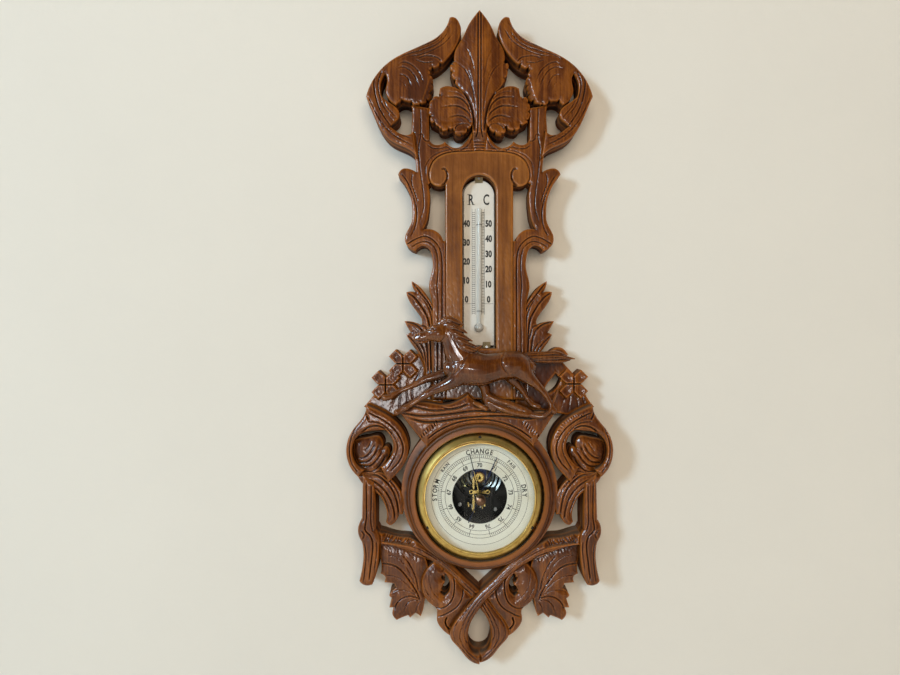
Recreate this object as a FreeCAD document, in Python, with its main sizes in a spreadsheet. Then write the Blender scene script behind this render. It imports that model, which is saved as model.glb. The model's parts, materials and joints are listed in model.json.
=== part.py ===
"""Aneroid barometer with a thermometer in a carved wall case.

Every piece is drawn lying on its back on the bench: X to the right, Y up the wall and Z off the wall,
measured from the dial's centre and from the wall. Its Placement then stands it up, with the wall at
y = 0 and the front towards -Y, and hangs it so that the hole in the hanger plate is the origin.
"""
import FreeCAD
import Part
import math
import os
import re
from collections import namedtuple

import Sketcher
from FreeCAD import Placement, Rotation, Vector

# ---------------------------------------------------------------------------------------------
# Driving sizes in millimetres
# ---------------------------------------------------------------------------------------------
SIZES = {
    # case
    "dial_drop": 343.0,
    "board_front": 14.0,
    "panel_front": 25.0,
    "leaf_front": 31.0,
    "scroll_front": 30.0,
    "stile_front": 26.0,
    "spray_front": 24.0,
    "backing_front": 19.0,
    "ground_front": 40.0,
    "volute_front": 36.0,
    "curl_front": 30.0,
    "droop_front": 31.0,
    "post_front": 34.0,
    "lap_front": 24.0,
    "under_front": 30.0,
    "over_front": 34.0,
    "vine_front": 26.0,
    "far_leg_front": 36.0,
    "near_leg_back": 34.0,
    "near_leg_front": 50.0,
    "horse_front": 55.0,
    "tail_front": 40.0,
    "niche_floor": 12.0,
    # turned surround
    "bore_radius": 58.5,
    "rebate_radius": 65.2,
    "ring_radius": 75.0,
    "ring_shoulder": 33.0,
    "ring_front": 38.5,
    "rim_radius": 80.0,
    "rim_rise": 4.0,
    "rim_front": 29.0,
    # hanger
    "hanger_width": 42.0,
    "hanger_height": 16.0,
    "hanger_thick": 1.5,
    "hanger_hole": 3.5,
    "nail_pocket": 9.0,
    "nail_pocket_depth": 8.0,
    "hanger_screw_x": 15.0,
    "wood_screw_head": 2.5,
    "wood_screw_shank": 1.3,
    "wood_screw_end": 11.0,
    # case cup, dial, bezel and glass
    "cup_radius": 58.0,
    "cup_wall": 0.8,
    "cup_back": 2.0,
    "flange_radius": 64.0,
    "flange_back": 31.2,
    "flange_front": 32.0,
    "dial_radius": 62.0,
    "dial_front": 33.0,
    "aperture_radius": 28.1,
    "bezel_radius": 64.7,
    "bezel_edge": 34.5,
    "bezel_lip": 43.0,
    "lip_inner": 55.3,
    "lip_outer": 56.6,
    "glass_radius": 57.5,
    "glass_back": 39.0,
    "glass_front": 41.2,
    "glass_hole": 1.6,
    "ring_seat_back": 37.8,
    "bezel_screw_circle": 61.0,
    "bezel_screw_head": 1.6,
    "bezel_screw_top": 38.9,
    "bezel_screw_seat": 37.4,
    "bezel_screw_shank": 0.9,
    "bezel_screw_end": 22.0,
    # hands
    "hand_back": 34.6,
    "hand_front": 35.1,
    "hand_boss": 2.4,
    "hand_tip": 44.0,
    "hand_angle": 23.5,
    "set_back": 37.1,
    "set_front": 37.6,
    "set_boss": 3.0,
    "set_boss_front": 38.8,
    "set_tip": 46.0,
    "set_angle": 13.0,
    "spindle": 1.5,
    "spindle_end": 1.0,
    "knob_back": 41.4,
    "knob_radius": 5.3,
    "knob_top": 54.0,
    # movement
    "plate_radius": 56.0,
    "plate_front": 5.2,
    "capsule_y": 17.7,
    "capsule_radius": 25.5,
    "capsule_back": 7.0,
    "capsule_front": 15.0,
    "capsule_wall": 0.5,
    "corrugation": 0.9,
    "foot_radius": 5.0,
    "stud_radius": 5.9,
    "stud_front": 17.0,
    "adjuster_head": 3.4,
    "adjuster_shank": 1.9,
    "adjuster_hole": 2.0,
    "adjuster_back": 0.9,
    "adjuster_end": 6.6,
    "adjuster_access": 4.2,
    "pivot_y": 42.0,
    "bridge_half": 8.0,
    "bridge_back_y": 48.5,
    "bridge_wall": 3.0,
    "bridge_foot_y": 53.0,
    "spring_back": 22.0,
    "spring_front": 23.2,
    "spring_half": 7.0,
    "spring_end_y": 13.0,
    "post_radius": 2.4,
    "post_neck": 1.5,
    "lever_front": 24.4,
    "lever_half": 1.0,
    "lever_hub": 5.8,
    "lever_x": 6.0,
    "collet_radius": 5.9,
    "collet_front": 25.6,
    "nut_radius": 3.6,
    "nut_front": 26.8,
    "post_tip": 28.0,
    "rocker_y": 14.0,
    "rocker_height": 8.5,
    "rocker_radius": 0.8,
    "rocker_left": 10.0,
    "rocker_right": 5.0,
    "pivot_length": 1.2,
    "cock_gap": 0.2,
    "cock_wall": 1.7,
    "crank_length": 3.6,
    "crank_eye": 1.10,
    "link_radius": 0.5,
    "link_end": 6.9,
    "collar_radius": 1.2,
    "collar_back": 1.6,
    "collar_front": 2.2,
    "arm_radius": 0.6,
    "chain_height": 21.2,
    "pivot_radius": 0.42,
    "pivot_hole": 0.5,
    "drum_radius": 1.0,
    "drum_flange": 1.8,
    "drum_back": 20.0,
    "drum_front": 22.4,
    "arbor_radius": 0.8,
    "arbor_hole": 0.88,
    "frame_back": 16.5,
    "frame_front": 18.0,
    "rail_inner": 12.0,
    "rail_outer": 15.0,
    "rail_foot_y": 27.0,
    "lug_x": 8.4,
    "lug_y": 3.6,
    "lug_radius": 2.2,
    "pillar_radius": 1.2,
    "cock_back": 28.0,
    "cock_front": 29.5,
    "coil_back": 26.6,
    "coil_front": 27.4,
    "coil_band": 0.2,
    "screw_head": 2.0,
    "screw_shank": 1.2,
    "screw_head_front": 6.4,
    # thermometer
    "niche_half": 17.5,
    "niche_bottom": 150.7,
    "niche_spring": 313.0,
    "scale_half": 15.8,
    "scale_bottom": 154.0,
    "scale_spring": 311.0,
    "scale_front": 14.2,
    "tube_radius": 2.2,
    "tube_bore": 0.5,
    "tube_height": 16.5,
    "tube_top": 297.0,
    "bore_top": 292.0,
    "bulb_y": 172.5,
    "bulb_radius": 4.5,
    "bulb_bore": 3.9,
    "bulb_hole": 4.8,
    "mercury_top": 233.0,
    "tie_wire": 0.3,
    "tie_upper_y": 280.0,
    "tie_lower_y": 189.7,
    "clip_front": 15.0,
    "nail_radius": 0.6,
    "nail_end": 5.0,
    "nail_low_x": 8.0,
    "nail_low_y": 152.3,
    "nail_high_y": 328.5,
    "clip_half": 4.0,
    "clip_low_start": 151.0,
    "clip_low_end": 157.5,
    "clip_high_start": 324.0,
    "clip_high_end": 329.9,
}

doc = FreeCAD.newDocument("Barometer")
sheet = doc.addObject("Spreadsheet::Sheet", "sizes")
for row, (alias, value) in enumerate(SIZES.items(), start=1):
    sheet.set("A%d" % row, alias)
    sheet.set("B%d" % row, str(value))
    sheet.setAlias("B%d" % row, alias)
doc.recompute()

NODES = {}
LEFT, RIGHT = 1, -1


def bound(text):
    """A formula over the sheet's aliases, written for setExpression."""
    def name_of(word):
        return "sizes." + word.group() if word.group() in SIZES else word.group()
    return re.sub(r"[a-z_]+", name_of, text)


def worth(text):
    """The value that a formula over the sheet has now."""
    found = sheet.evalExpression(bound(text))
    return float(getattr(found, "Value", found))


def tie_to_sheet(thing, **formulas):
    """Bind properties of an object to formulas; a double underscore stands for a dot."""
    for name, text in formulas.items():
        thing.setExpression(name.replace("__", "."), bound(text))


def hang(name, thing):
    """Stand a finished piece up, hang it below the hanger hole and make it a node.

    The piece itself stays on the bench, because others are cut to fit it there.
    """
    hung = doc.addObject("Part::Compound", name + "_hung")
    hung.Links = [thing]
    hung.Placement = Placement(Vector(0, 0, 0), Rotation(Vector(1, 0, 0), 90))
    hung.setExpression("Placement.Base.z", bound("0 - dial_drop"))
    NODES[name] = hung
    return hung


# ---------------------------------------------------------------------------------------------
# Outlines: a list of runs, each a smooth curve through its points, a line or an arc
# ---------------------------------------------------------------------------------------------
Arc = namedtuple("Arc", "start middle end")


def flipped(outline, side):
    """The outline as it is for the left side, or mirrored for the right."""
    turned_over = []
    for run in outline:
        points = [(side * x, y) for x, y in run]
        turned_over.append(Arc(*points) if isinstance(run, Arc) else points)
    return turned_over


def edge_of(run):
    points = [Vector(x, y, 0) for x, y in run]
    if isinstance(run, Arc):
        return Part.Arc(*points)
    if len(points) == 2:
        return Part.LineSegment(*points)
    curve = Part.BSplineCurve()
    curve.interpolate(points)
    return curve


def fretted(name, loops, low, high):
    """A prism sawn to an outline, with any openings, from one height off the wall to another."""
    sketch = doc.addObject("Sketcher::SketchObject", name + "_outline")
    for outline in loops:
        for run in outline:
            sketch.addGeometry(edge_of(run), False)
    tie_to_sheet(sketch, Placement__Base__z=low)
    prism = doc.addObject("Part::Extrusion", name + "_sawn")
    prism.Base = sketch
    prism.DirMode = "Custom"
    prism.Dir = Vector(0, 0, 1)
    prism.Solid = True
    tie_to_sheet(prism, LengthFwd="%s - (%s)" % (high, low))
    return prism


def joined(name, pieces):
    if len(pieces) == 1:
        return pieces[0]
    fuse = doc.addObject("Part::MultiFuse", name)
    fuse.Shapes = pieces
    fuse.Refine = True
    return fuse


def cut_away(name, base, tools):
    if not tools:
        return base
    cut = doc.addObject("Part::Cut", name)
    cut.Base = base
    cut.Tool = joined(name + "_tool", tools)
    return cut


def block(name, x, y, height):
    """A box between pairs of formulas."""
    box = doc.addObject("Part::Box", name)
    for axis, side, (low, high) in (("x", "Length", x), ("y", "Width", y), ("z", "Height", height)):
        box.setExpression("Placement.Base." + axis, bound(low))
        box.setExpression(side, bound("(%s) - (%s)" % (high, low)))
    return box


def rod(name, radius, low, high, x="0", y="0"):
    """A round bar standing off the wall."""
    bar = doc.addObject("Part::Cylinder", name)
    tie_to_sheet(bar, Radius=radius, Height="(%s) - (%s)" % (high, low), Placement__Base__x=x,
                 Placement__Base__y=y, Placement__Base__z=low)
    return bar


def bar_across(name, radius, start, end, y, height):
    """A round bar along X."""
    bar = doc.addObject("Part::Cylinder", name)
    bar.Placement = Placement(Vector(0, 0, 0), Rotation(Vector(0, 1, 0), 90))
    tie_to_sheet(bar, Radius=radius, Height="(%s) - (%s)" % (end, start), Placement__Base__x=start,
                 Placement__Base__y=y, Placement__Base__z=height)
    return bar


def bar_upright(name, radius, start, end, x, height):
    """A round bar along Y, up the wall."""
    bar = doc.addObject("Part::Cylinder", name)
    bar.Placement = Placement(Vector(0, 0, 0), Rotation(Vector(1, 0, 0), -90))
    tie_to_sheet(bar, Radius=radius, Height="(%s) - (%s)" % (end, start), Placement__Base__x=x,
                 Placement__Base__y=start, Placement__Base__z=height)
    return bar


def turned(name, profile, y="0"):
    """A body turned about an axis that stands off the wall; each corner is (radius, height)."""
    body = doc.addObject("PartDesign::Body", name)
    sketch = body.newObject("Sketcher::SketchObject", name + "_profile")
    plane = [f for f in body.Origin.OriginFeatures if f.Role == "XZ_Plane"][0]
    sketch.AttachmentSupport = [(plane, "")]
    sketch.MapMode = "FlatFace"
    corners = [Vector(worth(radius), worth(height), 0) for radius, height in profile]
    for here, there in zip(corners, corners[1:] + corners[:1]):
        sketch.addGeometry(Part.LineSegment(here, there), False)
    for index in range(len(corners)):
        sketch.addConstraint(Sketcher.Constraint("Coincident", index, 2, (index + 1) % len(corners), 1))
    for index, (radius, height) in enumerate(profile):
        if worth(radius) == 0:
            sketch.addConstraint(Sketcher.Constraint("PointOnObject", index, 1, -2))
        else:
            across = sketch.addConstraint(
                Sketcher.Constraint("DistanceX", -1, 1, index, 1, worth(radius)))
            sketch.setExpression("Constraints[%d]" % across, bound(radius))
        up = sketch.addConstraint(Sketcher.Constraint("DistanceY", -1, 1, index, 1, worth(height)))
        sketch.setExpression("Constraints[%d]" % up, bound(height))
    turn = body.newObject("PartDesign::Revolution", name + "_turn")
    turn.Profile = sketch
    turn.ReferenceAxis = (sketch, ["V_Axis"])
    turn.Angle = 360
    body.Tip = turn
    tie_to_sheet(body, Placement__Base__y=y)
    return body


# ---------------------------------------------------------------------------------------------
# Outlines of the carved case, left side; the right side is their mirror image
# ---------------------------------------------------------------------------------------------
LEAF_HALF = [
    [(0, 498), (-6, 491), (-12, 482), (-17, 471), (-24, 460), (-26, 453), (-26, 446)],
    [(-26, 446), (-30, 443), (-30, 438), (-27, 428), (-17, 414.5)],
    [(-17, 414.5), (-24, 419), (-32, 421), (-40.5, 418.5)],
    [(-40.5, 418.5), (-42, 410.5)],
    [(-42, 410.5), (-49, 408.5), (-52, 400), (-52, 392), (-50, 384)],
    [(-50, 384), (-42, 379.5)],
    [(-42, 379.5), (-39, 375), (-33, 375), (-26.5, 378)],
    [(-26.5, 378), (-26, 372.5), (-21.5, 369.5), (-15, 372), (-10, 377), (-7, 382)],
    [(-7, 382), (-7, 371), (-5, 350)],
    [(-5, 350), (0, 350)],
]
CREST_LEAF = LEAF_HALF + [run[::-1] for run in flipped(LEAF_HALF, RIGHT)[::-1]]

CREST_SCROLL = [
    [(-30, 488), (-38, 475), (-56, 464), (-74, 456), (-92, 446), (-106, 432), (-116.5, 409.5)],
    [(-116.5, 409.5), (-111, 397), (-103, 379), (-90, 364), (-73, 356), (-64, 347)],
    [(-64, 347), (-68, 374)],
    [(-68, 374), (-76, 370), (-84, 373), (-92, 379)],
    [(-92, 379), (-84, 386)],
    [(-84, 386), (-83, 395), (-92, 403), (-101, 411)],
    [(-101, 411), (-101.5, 423), (-97, 433)],
    [(-97, 433), (-95, 424), (-96.5, 416), (-94, 408), (-86, 401)],
    [(-86, 401), (-80, 405), (-68, 401)],
    [(-68, 401), (-58, 403), (-51, 408), (-50, 416)],
    [(-50, 416), (-47.5, 423), (-49, 431), (-52, 437)],
    [(-52, 437), (-44, 440), (-36, 446), (-29, 454), (-23, 464), (-18.5, 477)],
    [(-18.5, 477), (-21, 485), (-25, 488.5), (-30, 488)],
]

STILE = [
    [(-70, 402), (-69.5, 384), (-70, 370), (-68, 358), (-66, 345), (-65, 333)],
    [(-65, 333), (-71, 336), (-77, 337), (-84, 330.5)],
    [(-84, 330.5), (-79, 324), (-74, 315), (-70, 303), (-69, 292), (-70, 281), (-75, 271),
     (-77, 264), (-74, 256), (-66, 251.5)],
    [(-66, 251.5), (-61, 256), (-57, 257), (-52, 254), (-49, 246), (-48, 236), (-50, 226),
     (-52, 215), (-50, 204), (-48.5, 190)],
    [(-48.5, 190), (-48.5, 98)],
    [(-48.5, 98), (-30, 98)],
    [(-30, 98), (-30, 262)],
    [(-30, 262), (-37.5, 262)],
    [(-37.5, 262), (-41, 269), (-48, 273.5), (-58, 273.5)],
    [(-58, 273.5), (-53.5, 284), (-51.5, 298), (-51, 310), (-53, 320)],
    [(-53, 320), (-40, 332)],
    [(-40, 332), (-3, 342)],
    [(-3, 342), (-3, 366)],
    [(-3, 366), (-8, 374)],
    [(-8, 374), (-13.5, 364.5), (-23, 358), (-31, 360), (-35.5, 364.5)],
    [(-35.5, 364.5), (-40, 361.5), (-47, 361.5), (-52, 368)],
    [(-52, 368), (-52, 399)],
    [(-52, 399), (-70, 402)],
]

PANEL_HALF = [
    [(0, 98), (-35, 98)],
    [(-35, 98), (-35, 320)],
    [(-35, 320), (-43, 318.3), (-49.5, 321.5), (-52, 329), (-51, 337), (-47, 345)],
    [(-47, 345), (-37, 351.5), (-24, 354), (0, 355.5)],
]
PANEL = PANEL_HALF + [run[::-1] for run in flipped(PANEL_HALF, RIGHT)[::-1]]


def arched(half, bottom, spring):
    """A window with a round head."""
    return [
        [(-half, spring), (-half, bottom)],
        [(-half, bottom), (half, bottom)],
        [(half, bottom), (half, spring)],
        Arc((half, spring), (0, spring + half), (-half, spring)),
    ]


LEAF_SPRAY = [
    [(-42, 176), (-46, 190), (-53, 204), (-62, 215), (-70, 220.5)],
    [(-70, 220.5), (-69, 214), (-66, 209)],
    [(-66, 209), (-71, 210), (-75.5, 209)],
    [(-75.5, 209), (-72, 199), (-64, 188), (-59, 178), (-60, 174.5)],
    [(-60, 174.5), (-69, 178.5), (-77.5, 179)],
    [(-77.5, 179), (-74.5, 173), (-71, 167.5)],
    [(-71, 167.5), (-75.5, 165)],
    [(-75.5, 165), (-69, 154), (-61, 143), (-56, 122)],
    [(-56, 122), (-42, 122)],
    [(-42, 122), (-42, 176)],
]

BACKING_LEFT = [
    [(-38, 152), (-60, 146), (-74, 141), (-86, 128), (-98, 116), (-108, 104), (-120, 90)],
    [(-120, 90), (-98, 80)],
    [(-98, 80), (-78, 84), (-62, 92), (-38, 92)],
    [(-38, 92), (-38, 152)],
]
BACKING_RIGHT = [
    [(38, 152), (60, 148), (73, 147)],
    [(73, 147), (84, 152), (93, 144)],
    [(93, 144), (86, 140), (92, 131), (100, 122), (110, 104), (120, 90)],
    [(120, 90), (98, 80)],
    [(98, 80), (78, 84), (62, 86), (38, 90)],
    [(38, 90), (38, 152)],
]
FRET_RIGHT = [
    [(80, 125), (85.5, 119)],
    [(85.5, 119), (81, 110), (73, 104)],
    [(73, 104), (69, 107), (75, 119), (80, 125)],
]
FLOWERS_LEFT = [(-79, 135), (-97, 113)]
FLOWERS_RIGHT = [(98, 114)]


def blossom(centre, reach=16.5, waist=9.0, notch=7.0):
    """Four blunt petals set corner to corner, with notches between them."""
    points = []
    for petal in range(4):
        middle = math.radians(45 + 90 * petal)
        for radius, swing in ((notch, -45), (waist, -37), (reach, -18), (reach, 18), (waist, 37)):
            angle = middle + math.radians(swing)
            points.append((centre[0] + radius * math.cos(angle), centre[1] + radius * math.sin(angle)))
    return [list(pair) for pair in zip(points, points[1:] + points[:1])]


GROUND = [
    [(-82, 87), (-74, 92), (-65, 96), (-50, 95.5), (-33, 94), (-22, 98), (-12, 104)],
    [(-12, 104), (-4, 97), (8, 92.5), (25, 90), (45, 86), (60, 87), (75, 84)],
    [(75, 84), (66, 70), (54, 52)],
    Arc((54, 52), (0, 75), (-54, 52)),
    [(-54, 52), (-68, 69), (-82, 87)],
]

VOLUTE = [
    [(-115.5, 93), (-119, 81), (-130, 67), (-136, 51), (-134, 34), (-124, 20)],
    [(-124, 20), (-118, 27)],
    [(-118, 27), (-129, 39), (-129, 54), (-121, 64), (-110, 67), (-97, 68)],
    [(-97, 68), (-90, 60), (-88, 50), (-92, 39), (-101, 30)],
    [(-101, 30), (-93, 15)],
    [(-93, 15), (-82, 26), (-75, 37), (-72.5, 48), (-74.5, 60), (-83, 74), (-98, 85), (-115.5, 93)],
]
VOLUTE_LEAF = [
    [(-133, 40), (-131, 54), (-124, 58), (-113, 60), (-104, 61), (-99, 54), (-100, 48)],
    [(-100, 48), (-95, 50), (-92, 44), (-95, 36), (-98, 26), (-106, 20), (-118, 20), (-128, 28),
     (-133, 40)],
]
DROOPING_LEAF = [
    [(-127, 29), (-120, 24), (-112, 22), (-103, 24), (-92, 18), (-84, 9), (-79, 1), (-77.5, -9),
     (-79, -19.5)],
    [(-79, -19.5), (-83, -19.5)],
    [(-83, -19.5), (-87, -28), (-91, -30.5), (-96, -27)],
    [(-96, -27), (-95, -18), (-98, -8), (-104, 1), (-113, 6), (-121, 13), (-127, 29)],
]
POST = [
    [(-119.5, 22), (-120, -6), (-120.5, -24)],
    [(-120.5, -24), (-124.5, -33), (-124, -40), (-120.5, -47)],
    [(-120.5, -47), (-119, -57), (-120, -73), (-123, -87)],
    [(-123, -87), (-121, -90), (-114, -92), (-110, -91)],
    [(-110, -91), (-107, -84), (-104, -72), (-103, -52)],
    [(-103, -52), (-103, -40), (-106, -34)],
    [(-106, -34), (-106.5, -2), (-108, 14)],
    [(-108, 14), (-119.5, 22)],
]
BRANCH = [
    [(-112, -38), (-98, -40), (-84, -44), (-72, -45), (-61, -50), (-49, -58), (-32, -68), (-20, -80),
     (-4, -95), (9, -109), (18, -120), (26, -130), (30.5, -140)],
    [(30.5, -140), (29, -147), (22, -155), (14, -165), (8, -170), (0, -172.5)],
    [(0, -172.5), (0, -163)],
    [(0, -163), (8.5, -159), (12, -147), (10, -132), (2, -118.5)],
    [(2, -118.5), (-10, -103), (-17, -96), (-24, -87), (-34, -78), (-49, -68), (-61, -63),
     (-84, -53.5), (-112, -51)],
    [(-112, -51), (-112, -38)],
]
VINE_LEAF = [
    [(-106, -48), (-60, -56)],
    [(-60, -56), (-52, -88), (-57, -111)],
    [(-57, -111), (-58, -119), (-60.5, -126)],
    [(-60.5, -126), (-66, -122.5)],
    [(-66, -122.5), (-71.5, -127.5)],
    [(-71.5, -127.5), (-73.5, -125)],
    [(-73.5, -125), (-79, -127), (-85.5, -130)],
    [(-85.5, -130), (-90, -123), (-88, -117)],
    [(-88, -117), (-93, -117)],
    [(-93, -117), (-90, -107.5)],
    [(-90, -107.5), (-93, -104), (-90, -100), (-86, -96.5)],
    [(-86, -96.5), (-88, -92)],
    [(-88, -92), (-98, -91)],
    [(-98, -91), (-97, -86), (-102, -82)],
    [(-102, -82), (-101, -74), (-103, -63), (-106, -48)],
]
CURLED_LEAF = [
    [(-42, -67), (-53, -75), (-59, -88), (-57, -103), (-49, -113), (-43.5, -118), (-44, -127),
     (-39.5, -137), (-27, -146)],
    [(-27, -146), (-20, -125), (-6, -104)],
    [(-6, -104), (-42, -67)],
]
CURL_OPENING = [
    [(-35, -81), (-31, -88), (-31, -98), (-36, -104)],
    [(-36, -104), (-40, -98), (-37, -91), (-39.5, -85), (-35, -81)],
]

# the galloping horse
HORSE_BODY = [
    [(-33, 184), (-24, 178), (-16, 169), (-8, 158), (0, 151)],
    [(0, 151), (12, 147), (24, 146), (36, 147.5), (47, 145.5), (56, 141)],
    [(56, 141), (54, 130), (56, 120), (50, 112)],
    [(50, 112), (40, 118), (30, 122), (15, 118), (0, 113.5), (-25, 112.5)],
    [(-25, 112.5), (-36, 116), (-36, 124), (-34, 134), (-38, 148), (-40, 155)],
    [(-40, 155), (-52, 158.5), (-62, 156)],
    [(-62, 156), (-66, 159), (-65, 163.5)],
    [(-65, 163.5), (-58, 166), (-50, 172), (-44, 177.5), (-39, 180)],
    [(-39, 180), (-33, 184)],
]
HORSE_TAIL = [
    [(46, 146), (60, 146), (76, 147.5), (87, 143.5), (97, 139.5)],
    [(97, 139.5), (85, 136), (66, 136), (50, 137)],
    [(50, 137), (46, 146)],
]
FAR_FORELEG = [
    [(-30, 131), (-46, 127), (-62, 122), (-84, 112), (-98, 103)],
    [(-98, 103), (-95, 98.5), (-84, 101)],
    [(-84, 101), (-70, 111), (-58, 117), (-30, 116)],
    [(-30, 116), (-30, 131)],
]
NEAR_FORELEG = [
    [(-24, 122), (-38, 115), (-52, 108.5), (-68, 98), (-84, 89)],
    [(-84, 89), (-82, 84), (-72, 86)],
    [(-72, 86), (-58, 96), (-44, 104), (-26, 110)],
    [(-26, 110), (-24, 122)],
]
NEAR_HIND_LEG = [
    [(44, 138), (54, 128), (60, 115), (67, 104), (77, 91)],
    [(77, 91), (72, 85), (66, 89)],
    [(66, 89), (58, 102), (49, 112), (38, 120)],
    [(38, 120), (44, 138)],
]
FAR_HIND_LEG = [
    [(38, 130), (42, 110), (46, 100), (56, 92)],
    [(56, 92), (53, 87), (44, 91)],
    [(44, 91), (38, 102), (28, 114), (25, 130)],
    [(25, 130), (38, 130)],
]
ROOT = [
    [(6, 116), (10, 104), (18, 97), (34, 92), (48, 87)],
    [(48, 87), (30, 82), (8, 88)],
    [(8, 88), (0, 100), (-4, 115)],
    [(-4, 115), (6, 116)],
]


# ---------------------------------------------------------------------------------------------
# Case
# ---------------------------------------------------------------------------------------------
NAILS = (("low", "nail_low_x", "nail_low_y"), ("high", "0", "nail_high_y"))
BOARD_PARTS = []    # every outline that the backboard shares
BLANKS = {}         # carvings before they are cut to fit, by name
PIECES = {}         # carvings ready to hang, by name


def carving(name, loops, front, behind=(), back="board_front", more=(), on_board=True):
    """A carved piece glued on the board, cut to fit round the pieces that stand in front of it.

    `more` are further regions of the same piece, each (loops, back, front).
    """
    blanks = [fretted(name, loops, back, front)]
    for index, (extra, low, high) in enumerate(more):
        blanks.append(fretted("%s_%d" % (name, index), extra, low, high))
    whole = joined(name + "_blank", blanks)
    piece = cut_away(name, whole, [BLANKS[other] for other in behind])
    if on_board:
        BOARD_PARTS.append(fretted(name + "_board", loops, "0", "board_front"))
        for index, (extra, _, _) in enumerate(more):
            BOARD_PARTS.append(fretted("%s_board_%d" % (name, index), extra, "0", "board_front"))
    BLANKS[name] = whole
    return piece


def pair(name, outline, front, behind=(), openings=()):
    """The same carving on the left and mirrored on the right; `behind` names lack the side."""
    for side, word in ((LEFT, "left"), (RIGHT, "right")):
        loops = [flipped(loop, side) for loop in (outline,) + tuple(openings)]
        own = "%s_%s" % (name, word)
        rivals = [o if o in BLANKS else "%s_%s" % (o, word) for o in behind]
        PIECES[own] = carving(own, loops, front, rivals)


def turned_surround():
    """The turned ring round the instrument, on a rim that is a little wider at the sides."""
    ring = turned("surround_ring", [
        ("bore_radius", "board_front"), ("ring_radius", "board_front"),
        ("ring_radius", "ring_shoulder"), ("ring_radius - 2", "ring_shoulder + 2.5"),
        ("ring_radius - 3", "ring_shoulder + 2.5"), ("ring_radius - 4.5", "ring_front"),
        ("rebate_radius + 1", "ring_front"), ("rebate_radius", "ring_front - 1"),
        ("rebate_radius", "flange_back"), ("bore_radius", "flange_back")])
    rim = rod("surround_rim", "rim_radius", "board_front", "rim_front", y="rim_rise")
    bore = rod("surround_bore", "bore_radius", "0", "flange_back")
    whole = joined("surround_blank", [ring, cut_away("surround_rim_bored", rim, [bore])])
    BLANKS["dial_surround"] = whole
    BOARD_PARTS.append(rod("surround_board", "rim_radius", "0", "board_front", y="rim_rise"))
    pilots = screws("surround_pilot", "bezel_screw_shank", "bezel_screw_end", "flange_back")
    return cut_away("dial_surround", whole, [BLANKS["ground"]] + pilots)


def screws(name, radius, low, high, count=3):
    """Rods on the circle of the bezel screws, the first at the top."""
    made = []
    for number in range(count):
        turn = "%d deg" % (90 + 360 * number // count)
        made.append(rod("%s_%d" % (name, number), radius, low, high,
                        x="bezel_screw_circle * cos(%s)" % turn,
                        y="bezel_screw_circle * sin(%s)" % turn))
    return made


def build_case():
    niche = arched(worth("niche_half"), worth("niche_bottom"), worth("niche_spring"))
    PIECES["ground"] = carving("ground", [GROUND], "ground_front")
    PIECES["thermometer_panel"] = carving("thermometer_panel", [PANEL, niche], "panel_front",
                                          ["ground"])
    PIECES["crest_leaf"] = carving("crest_leaf", [CREST_LEAF], "leaf_front", ["thermometer_panel"])
    pair("crest_scroll", CREST_SCROLL, "scroll_front", ["crest_leaf"])
    pair("leaf_spray", LEAF_SPRAY, "spray_front", ["thermometer_panel"])
    pair("frame_stile", STILE, "stile_front",
         ["thermometer_panel", "ground", "crest_leaf", "crest_scroll", "leaf_spray"])
    PIECES["dial_surround"] = turned_surround()
    pair("volute", VOLUTE, "volute_front", ["dial_surround"])
    pair("volute_leaf", VOLUTE_LEAF, "curl_front", ["volute"])
    pair("drooping_leaf", DROOPING_LEAF, "droop_front", ["volute", "volute_leaf", "dial_surround"])
    pair("post", POST, "post_front", ["drooping_leaf", "volute", "volute_leaf"])
    for word, backing, flowers, fret in (("left", BACKING_LEFT, FLOWERS_LEFT, []),
                                         ("right", BACKING_RIGHT, FLOWERS_RIGHT, [FRET_RIGHT])):
        name = "blossom_spray_" + word
        petals = [([blossom(centre)], "board_front", "spray_front") for centre in flowers]
        PIECES[name] = carving(name, [backing] + fret, "backing_front",
                               ["leaf_spray_" + word, "frame_stile_" + word, "thermometer_panel",
                                "ground", "volute_" + word, "dial_surround"], more=petals)
    build_knot()
    pair("curled_leaf", CURLED_LEAF, "curl_front", ["lower_branch_left", "lower_branch_right"],
         openings=[CURL_OPENING])
    pair("vine_leaf", VINE_LEAF, "vine_front", ["curled_leaf", "lower_branch", "post"])
    build_horse()
    build_board(niche)
    for name, piece in PIECES.items():
        hang(name, piece)


def build_knot():
    """Two branches that come from the posts, cross in a half lap and close a loop below."""
    left, right = flipped(BRANCH, LEFT), flipped(BRANCH, RIGHT)
    low = fretted("under_low", [left], "board_front", "lap_front")
    over = fretted("over_high", [right], "lap_front", "over_front")
    high = cut_away("under_high", fretted("under_top", [left], "lap_front", "under_front"), [over])
    foot = cut_away("over_low", fretted("over_foot", [right], "board_front", "lap_front"), [low])
    for word, shares in (("left", [low, high]), ("right", [over, foot])):
        whole = joined("lower_branch_" + word + "_blank", shares)
        BLANKS["lower_branch_" + word] = whole
        PIECES["lower_branch_" + word] = cut_away(
            "lower_branch_" + word, whole, [BLANKS["post_" + word], BLANKS["dial_surround"]])
    BOARD_PARTS.append(fretted("branch_left_board", [left], "0", "board_front"))
    BOARD_PARTS.append(fretted("branch_right_board", [right], "0", "board_front"))


def build_horse():
    legs = [([FAR_FORELEG], "panel_front", "far_leg_front"),
            ([FAR_HIND_LEG], "panel_front", "far_leg_front"),
            ([NEAR_FORELEG], "near_leg_back", "near_leg_front"),
            ([NEAR_HIND_LEG], "near_leg_back", "near_leg_front"),
            ([HORSE_TAIL], "panel_front", "tail_front"),
            ([ROOT], "panel_front", "near_leg_back")]
    PIECES["horse"] = carving("horse", [HORSE_BODY], "horse_front",
                              ["ground", "frame_stile_left", "frame_stile_right"],
                              back="panel_front", more=legs, on_board=False)


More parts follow.
